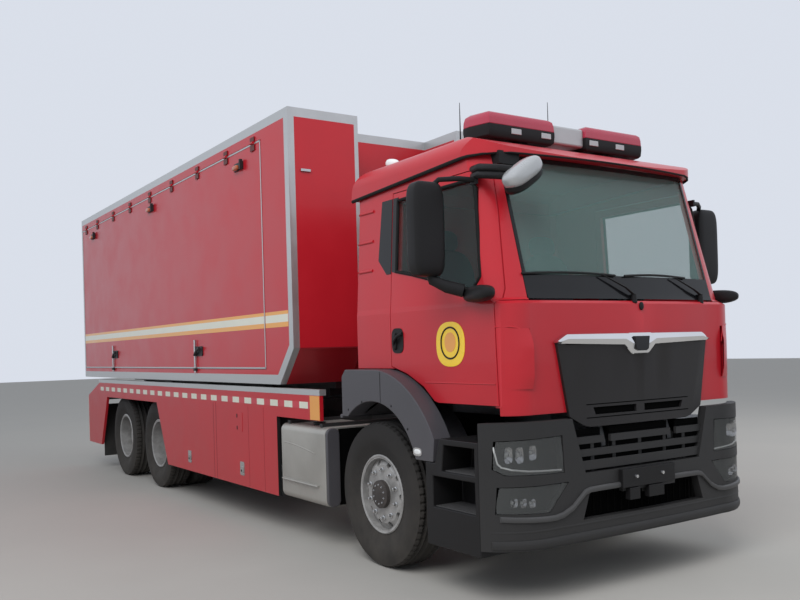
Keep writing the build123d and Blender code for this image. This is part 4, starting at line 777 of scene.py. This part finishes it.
# Front fenders: side marker lamps, the seam between the two parts, and rivets
pair("fender_marker_rims", [prism(oval((-0.616, 0.904), (0.05, 0.028), 3.0, 32), 0, 1.243, 1.2495)], "chrome",
     "fender_grey")
pair("fender_markers", [egg((1.2485, -0.616, 0.904), (0.006, 0.038, 0.018), 2.6, 12, 28)], "white_lens",
     "fender_grey")
seam = [block((1.242, 1.2462), (-0.163, -0.157), (1.215, 1.44))]
seam += [egg((1.245, d, z), (0.004, 0.009, 0.009), 2.0, 8, 14)
         for d, z in ((-0.3, 1.2), (0.1, 1.215), (-0.5, 1.05), (0.3, 1.15))]
pair("fender_seams", seam, "black_plastic", "fender_grey")

# Painted shade: near-black sheets inside the wheel arches, and near-black plates over the steps that stand for the
# shade behind the bumper's corners
shade_sheets = [block((0.488, 0.492), (-0.63, 0.64), (0.6, 1.1)), block((0.546, 0.55), (4.4, 7.15), (0.62, 1.1))]
pair("arch_shade_sheets", shade_sheets, "dark_gap", "fender_grey")
# A near-black plate between the cab's front corner and the bumper: painted shade
pair("step_shade_plates", [block((1.0, 1.2), (-1.29, -1.2), (1.0, 1.1))], "dark_gap", "step_black")

# Steps: ribbed treads
treads = []
for low_d, high_d, z in ((-1.215, -0.9, 0.8), (-1.215, -0.785, 0.56)):
    for x in np.arange(1.02, 1.225, 0.022):
        treads.append(block((x, x + 0.009), (low_d, high_d), (z - 0.002, z + 0.006)))
pair("step_treads", treads, "accent_plastic", "step_black")

# Side tanks: pressed ribs, a dark front cover and a filler cap
tank_ribs = [tube([(1.244, 0.8, 0.505), (1.247, 0.84, 0.507), (1.247, 1.4, 0.51),
                   (1.244, 1.44, 0.51)], 0.026, flat=0.35)]
crease_d = np.linspace(0.86, 1.42, 16)
crease_line = points_at(1.2445, crease_d, 0.765 + 0.06 * np.sin((crease_d - 0.86) * 2.6))
tank_ribs.append(tube(crease_line, 0.005, 8))
pair("tank_ribs", tank_ribs, "tank_skin", "tank_aluminium")
cover_end = 0.689
ends = [prism(rounded((1.125, 1.243), (0.35, 0.98), 0.05), 1, 0.655, cover_end)]
pair("tank_end_covers", ends, "fender_plastic", "fender_grey", bevel=0.01)
# Near-black backs behind the end covers: painted shade in the gap behind them
ends = [prism([(0.655, 0.36), (1.12, 0.36), (1.12, 0.97), (0.655, 0.97)], 1, 0.675, cover_end)]
pair("tank_end_shade_backs", ends, "dark_gap", "fender_grey")
cap = turned([(0.98, 0), (0.98, 0.05), (1.01, 0.052), (1.012, 0)], (1.12, 1.0, 0), axis=2, sides=32)
pair("tank_caps", [cap], "black_plastic", "tank_aluminium")

# Skirts: seams, flush handles, a flap, reflective tape and the orange patch
film, thick_film = 0.0012, 0.0022
seam_z, tape_z = (0.34, 1.11), (1.13, 1.185)
# Seams drawn as thin darker red strips: painted shade in the pressed grooves
seams = [on_skin(d, seam_z, 0.0008, 0.002)
         for d in ((2.976, 2.984), (3.046, 3.054), (1.83, 1.833), (2.171, 2.174))]
pair("skirt_seams", seams, "seam_red", "truck_red")
# A black strip on each skirt's forward-facing edge: painted shade
pair("skirt_front_shade_strips", [on_skin((1.5525, 1.5545), (0.336, 1.036), -0.001, 0.034)], "rubber", "truck_red")
plates, paddles, locks = [], [], []
for d, z in ((3.765, 0.493), (2.335, 0.502)):
    plates.append(prism(rounded((d - 0.05, d + 0.05), (z - 0.065, z + 0.065), 0.012), 0, skin - 0.001,
                        skin + 0.004))
    paddles.append(prism(rounded((d - 0.03, d + 0.03), (z - 0.04, z + 0.02), 0.01), 0, skin + 0.003,
                         skin + 0.012))
    locks.append(egg((skin + 0.013, d, z - 0.02), (0.004, 0.012, 0.012), 2.0, 10, 16))
pair("skirt_handles", plates, "bright_steel", "rail_aluminium")
pair("skirt_paddles", paddles, "wheel_paint", "rail_aluminium")
pair("skirt_locks", locks, "rubber", "chassis_black")
pair("skirt_flaps", [prism(rounded((2.31, 2.43), (0.85, 1.04), 0.012), 0, skin - 0.001, skin + 0.003)],
     "red_paint", "truck_red", bevel=0.002)
pair("flap_hinges", [on_skin((2.425, 2.44), (z, z + 0.035), 0.006, 0) for z in (0.87, 0.985)], "chassis_paint",
     "chassis_black")
pair("skirt_tape", [on_skin((0.915, 7.44), tape_z, film)], "tape_red", "truck_red")
pair("skirt_dashes", [on_skin((d, d + 0.155), tape_z, thick_film) for d in np.arange(0.95, 7.3, 0.285)],
     "stripe_white", "truck_red")
pair("skirt_patches", [on_skin((0.752, 0.915), (1.042, 1.238), thick_film)], "patch_orange", "truck_red")
pair("skirt_rear_strips", [block((1.2, skin + 0.001), (8.08, 8.088), (0.36, 1.018))], "stripe_white", "truck_red")

# Rear bar: lamps and blank plate
lamps = [("red_lens", (0.72, 0.86)), ("amber_lens", (0.87, 0.97)), ("white_lens", (0.98, 1.04)),
         ("red_lens", (1.05, 1.18))]
for index, (look, x) in enumerate(lamps):
    pair("rear_lamps_%d" % index, [block(x, (8.078, 8.1), (0.66, 0.78))], look, "chassis_black", bevel=0.008)
piece("rear_plate", [block((-0.22, 0.22), (8.079, 8.083), (0.445, 0.545))], "stripe_white", "chassis_black")

# Container: stripe, door edging, side lamps, latches and ear handles
stripes = [((1.822, 1.864), "stripe_yellow"), ((1.864, 1.931), "stripe_white"), ((1.931, 1.961), "stripe_yellow")]
for index, (z, look) in enumerate(stripes):
    pair("stripe_front_%d" % index, [on_skin((1.27, 1.728), z, film)], look, "truck_red", "load")
edging = [on_skin((1.738, 8.182), z, 0.004) for z in ((1.457, 1.471), (3.509, 3.521))]
edging += [on_skin(d, (1.457, 3.521), 0.004) for d in ((1.738, 1.752), (8.168, 8.182))]
side_lamps, brackets, latches, rods = [], [], [], []
for d in (2.224, 4.882, 7.548):
    side_lamps.append(egg((skin + 0.03, d + 0.02, 3.36), (0.018, 0.06, 0.024), 3.0, 14, 24))
    brackets.append(on_skin((d - 0.1, d + 0.1), (3.335, 3.41), 0.012))
    brackets.append(on_skin((d - 0.105, d - 0.08), (3.33, 3.425), 0.04, -0.01))
for d in (3.49, 6.64):
    rods.append(tube([(skin + 0.016, d, z) for z in (1.41, 1.6, 1.76)], 0.012, 10))
    latches.append(prism(rounded((d - 0.2, d + 0.03), (1.588, 1.69), 0.02), 0, skin - 0.001, skin + 0.012))
    latches.append(tube([(skin + 0.03, d - 0.17, 1.67), (skin + 0.036, d - 0.1, 1.645),
                         (skin + 0.03, d - 0.02, 1.6)], 0.014, 10))
    latches.append(on_skin((d - 0.025, d + 0.025), (1.43, 1.46), 0.03, -0.002))
pieces_by_side("side_door_", [
    *[("stripe_%%s_%d" % index, [on_skin((1.752, 8.17), z, film)], look, "truck_red")
      for index, (z, look) in enumerate(stripes)],
    ("door_edging_%s", edging, "aluminium", "rail_aluminium", 0.0015),
    ("side_lamps_%s", side_lamps, "side_lens", "beacon_red"),
    ("lamp_brackets_%s", brackets, "chassis_paint", "chassis_black", 0.003),
    ("door_latches_%s", latches, "chassis_paint", "chassis_black"),
    ("latch_rods_%s", rods, "bright_steel", "rail_aluminium"),
])
pair("ear_handles", [block((1.045, 1.14), (1.17, 1.184), (3.144, 3.168))], "bright_steel", "rail_aluminium", "load",
     bevel=0.003)
# A darker red strip: painted shade in the toe's pressed seam
pair("toe_seams", [block((0.6, 1.185), (1.181, 1.185), (1.624, 1.636))], "seam_red", "truck_red", "load")
# Side door hinges: a strap above each knuckle on the header, and one below it on the door
hinge_places = (1.896, 2.53, 3.312, 4.123, 4.909, 5.72, 6.498, 7.316, 7.937)
upper, lower = ([on_skin((d - 0.045, d + 0.045), z, 0.0115, -0.004) for d in hinge_places]
                for z in ((3.538, 3.578), (3.452, 3.508)))
pair("hinge_straps_upper", upper, "hinge_steel", "truck_red", "load", bevel=0.003)
pieces_by_side("side_door_", [("hinge_straps_%s", lower, "hinge_steel", "truck_red", 0.003)])
bars, catches = [], []
for x in (0.35, 0.85):
    bars.append(tube([(x, 8.22, z) for z in (1.5, 2.5, 3.45)], 0.012))
    for z in (1.56, 2.5, 3.4):
        catches.append(block((x - 0.04, x + 0.04), (8.204, 8.228), (z - 0.03, z + 0.03)))
pair("rear_door_bars", bars, "bright_steel", "rail_aluminium", "rear_door")
pair("rear_door_catches", catches, "chassis_paint", "chassis_black", "rear_door", bevel=0.004)


# Tyres: a profile carried round the axle, with tread grooves and slits pressed in, in millimetres

tread_half = np.array([9, 12, 29, 32, 57, 60, 72, 75, 100, 103, 116, 126, 133, 142, 145, 136, 118, 105])
outer_places, outer_radii = (0, 103, 116, 126, 133, 142, 145), (533, 532.5, 526, 519, 496, 470, 410)
inner_radii = np.array([286, 330, 370, 410, 470])


def tyre(middle, distance, side, grooves, lugs=60):
    """Radius is the wall's profile minus tread grooves: rings at groove places, slits around in turn."""
    turn = around(4 * lugs)
    across = np.concatenate([-tread_half[::-1], tread_half]) / 1000
    radius = np.interp(np.abs(across) * 1000, outer_places, outer_radii) / 1000
    radius[:5] = inner_radii / 1000
    radius[-5:] = inner_radii[::-1] / 1000
    across, radius = across[:, None], radius[:, None]
    for place in grooves:
        radius = np.where(np.abs(np.abs(across) - place) < 0.003, 0.519, radius)
    slit = np.arange(4 * lugs) % 4 == 0
    radius = np.where(slit & (np.abs(across) > 0.07) & (np.abs(across) < 0.117), radius - 0.011, radius)
    points = points_at(side * (middle + across), distance + radius * np.cos(turn),
                       axle_height + radius * np.sin(turn))
    return points.reshape(-1, 3), grid_faces(*points.shape[:2], True, True)


# Circles of nuts on a rear and on a front wheel: place, radius, and the nuts' size and length
nut_circles = (((twin_middle + 0.018, 0.168, 0.019, 0.045), (twin_middle + 0.15, 0.108, 0.008, 0.012)),
               ((front_place + 0.072, 0.178, 0.019, 0.05), (front_place + 0.13, 0.07, 0.008, 0.012)))


def nuts(distance, side, x, circle, size, long, count=10):
    """A ring of wheel nuts with round caps."""
    profile = [(side * (x + place), radius) for place, radius in (
        (0, 0), (0, size), (long * 0.55, size * 0.95), (long * 0.6, size * 0.62), (long, size * 0.55),
        (long + 0.003, 0))]
    turn = around(count) + math.pi / count
    centres = points_at(0, distance + circle * np.cos(turn), axle_height + circle * np.sin(turn))
    return [turned(profile, centre, sides=12) for centre in centres]


cap_profile = ((-0.03, 0.104), (0, 0.102), (0.004, 0.09), (0.004, 0.0), (-0.002, 0.0), (-0.002, 0.08),
               (-0.03, 0.085))
bead_profile = ((-0.006, 0.27), (0.004, 0.275), (0.006, 0.284), (0, 0.292), (-0.01, 0.29))
for name in wheel_names:
    side = 1 if name.endswith("left") else -1
    front = name.startswith("front")
    distance = 0.0 if front else rear_axles[int(name[5]) - 1]
    places = (front_place,) if front else twin_places
    grooves = (0.0305, 0.0735) if front else (0.0105, 0.0585)
    body = "wheel_" + name
    hub = (0, distance, axle_height)
    rings = [tyre(place, distance, side, grooves) for place in places]
    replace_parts(piece("tread_" + name, rings, "tyre_rubber", "tyre_rubber", body, angle=28), "tyre_" + name)
    bolts = [nut for circle in nut_circles[front] for nut in nuts(distance, side, *circle)]
    if front:
        hub_x = side * (front_place + 0.1295)
        cap = turned([(hub_x + side * place, radius) for place, radius in cap_profile], hub, sides=64)
        piece("hub_" + name, [cap], "hub_metal", "rim_steel", body)
    piece("wheel_nuts_" + name, bolts, "bright_steel", "rim_steel", body)
    edge_x = side * (places[0] + 0.112)
    bead = turned([(edge_x + side * place, radius) for place, radius in bead_profile], hub, sides=96)
    piece("rim_edge_" + name, [bead], "wheel_paint", "rim_steel", body)

# Stage: floor, light and camera
floor_half = 60.0
corners = [(x * floor_half, y * floor_half, 0) for x, y in ((-1, -1), (1, -1), (1, 1), (-1, 1))]
floor_mesh = bpy.data.meshes.new("floor")
floor_mesh.from_pydata(corners, [], [(0, 1, 2, 3)])
floor = placed("floor", floor_mesh)
floor_mesh.materials.append(finish("floor_finish", (0.4, 0.385, 0.36), 0.9, 0.04, blotch_scale=0.6))

# Sky: camera, glossy and transmission rays see the plain background, all others the softer light
world = bpy.data.worlds.new("sky")
bpy.context.scene.world = world
world.use_nodes = True
sky = world.node_tree
shown = add(sky, "Background", Color=(0.7, 0.74, 0.82, 1))
soft = sky.nodes["Background"]
soft.inputs["Color"].default_value = (0.86, 0.92, 1.0, 1)
soft.inputs["Strength"].default_value = 0.62
rays = add(sky, "LightPath").node.outputs
either = add(sky, "Math", rays["Is Camera Ray"], rays["Is Glossy Ray"], operation="MAXIMUM")
plain = add(sky, "Math", either, rays["Is Transmission Ray"], operation="MAXIMUM")
join(add(sky, "MixShader", plain, soft.outputs[0], shown), sky.nodes["World Output"], "Surface")


def lamp(name, place, target, size, power):
    """A square soft lamp that faces a point; glossy surfaces don't show it."""
    light = bpy.data.lights.new(name, "AREA")
    light.size = size
    light.energy = power
    made = placed(name, light)
    made.location = place
    made.rotation_euler = (Vector(target) - Vector(place)).to_track_quat("-Z", "Y").to_euler()
    made.visible_glossy = False


lamp("key", (-9, -9, 11), (0, 0, 1), 9, 1500)
lamp("fill", (10, -6, 8), (0, 0, 1.5), 9, 500)

# Camera: the photograph's own, as it was solved
camera_place = (-4.56069, -8.78794, 1.59693)
camera_turn, camera_roll, camera_pitch = (math.radians(a) for a in (33.63, 1.64, 0.33))
focal_pixels, image_width, principal_y, image_height = 865.6, 800, 344.45, 600
lens = bpy.data.cameras.new("camera")
lens.sensor_width = 36.0
lens.lens = focal_pixels * lens.sensor_width / image_width
lens.shift_y = (principal_y - image_height / 2) / image_width
lens.clip_end = 200
camera = placed("camera", lens)
camera.matrix_world = (Matrix.Translation(camera_place) @ Matrix.Rotation(-camera_turn, 4, "Z")
                       @ Matrix.Rotation(math.pi / 2 + camera_pitch, 4, "X") @ Matrix.Rotation(-camera_roll, 4, "Z"))
bpy.context.scene.camera = camera
bpy.context.scene.view_settings.view_transform = "Standard"
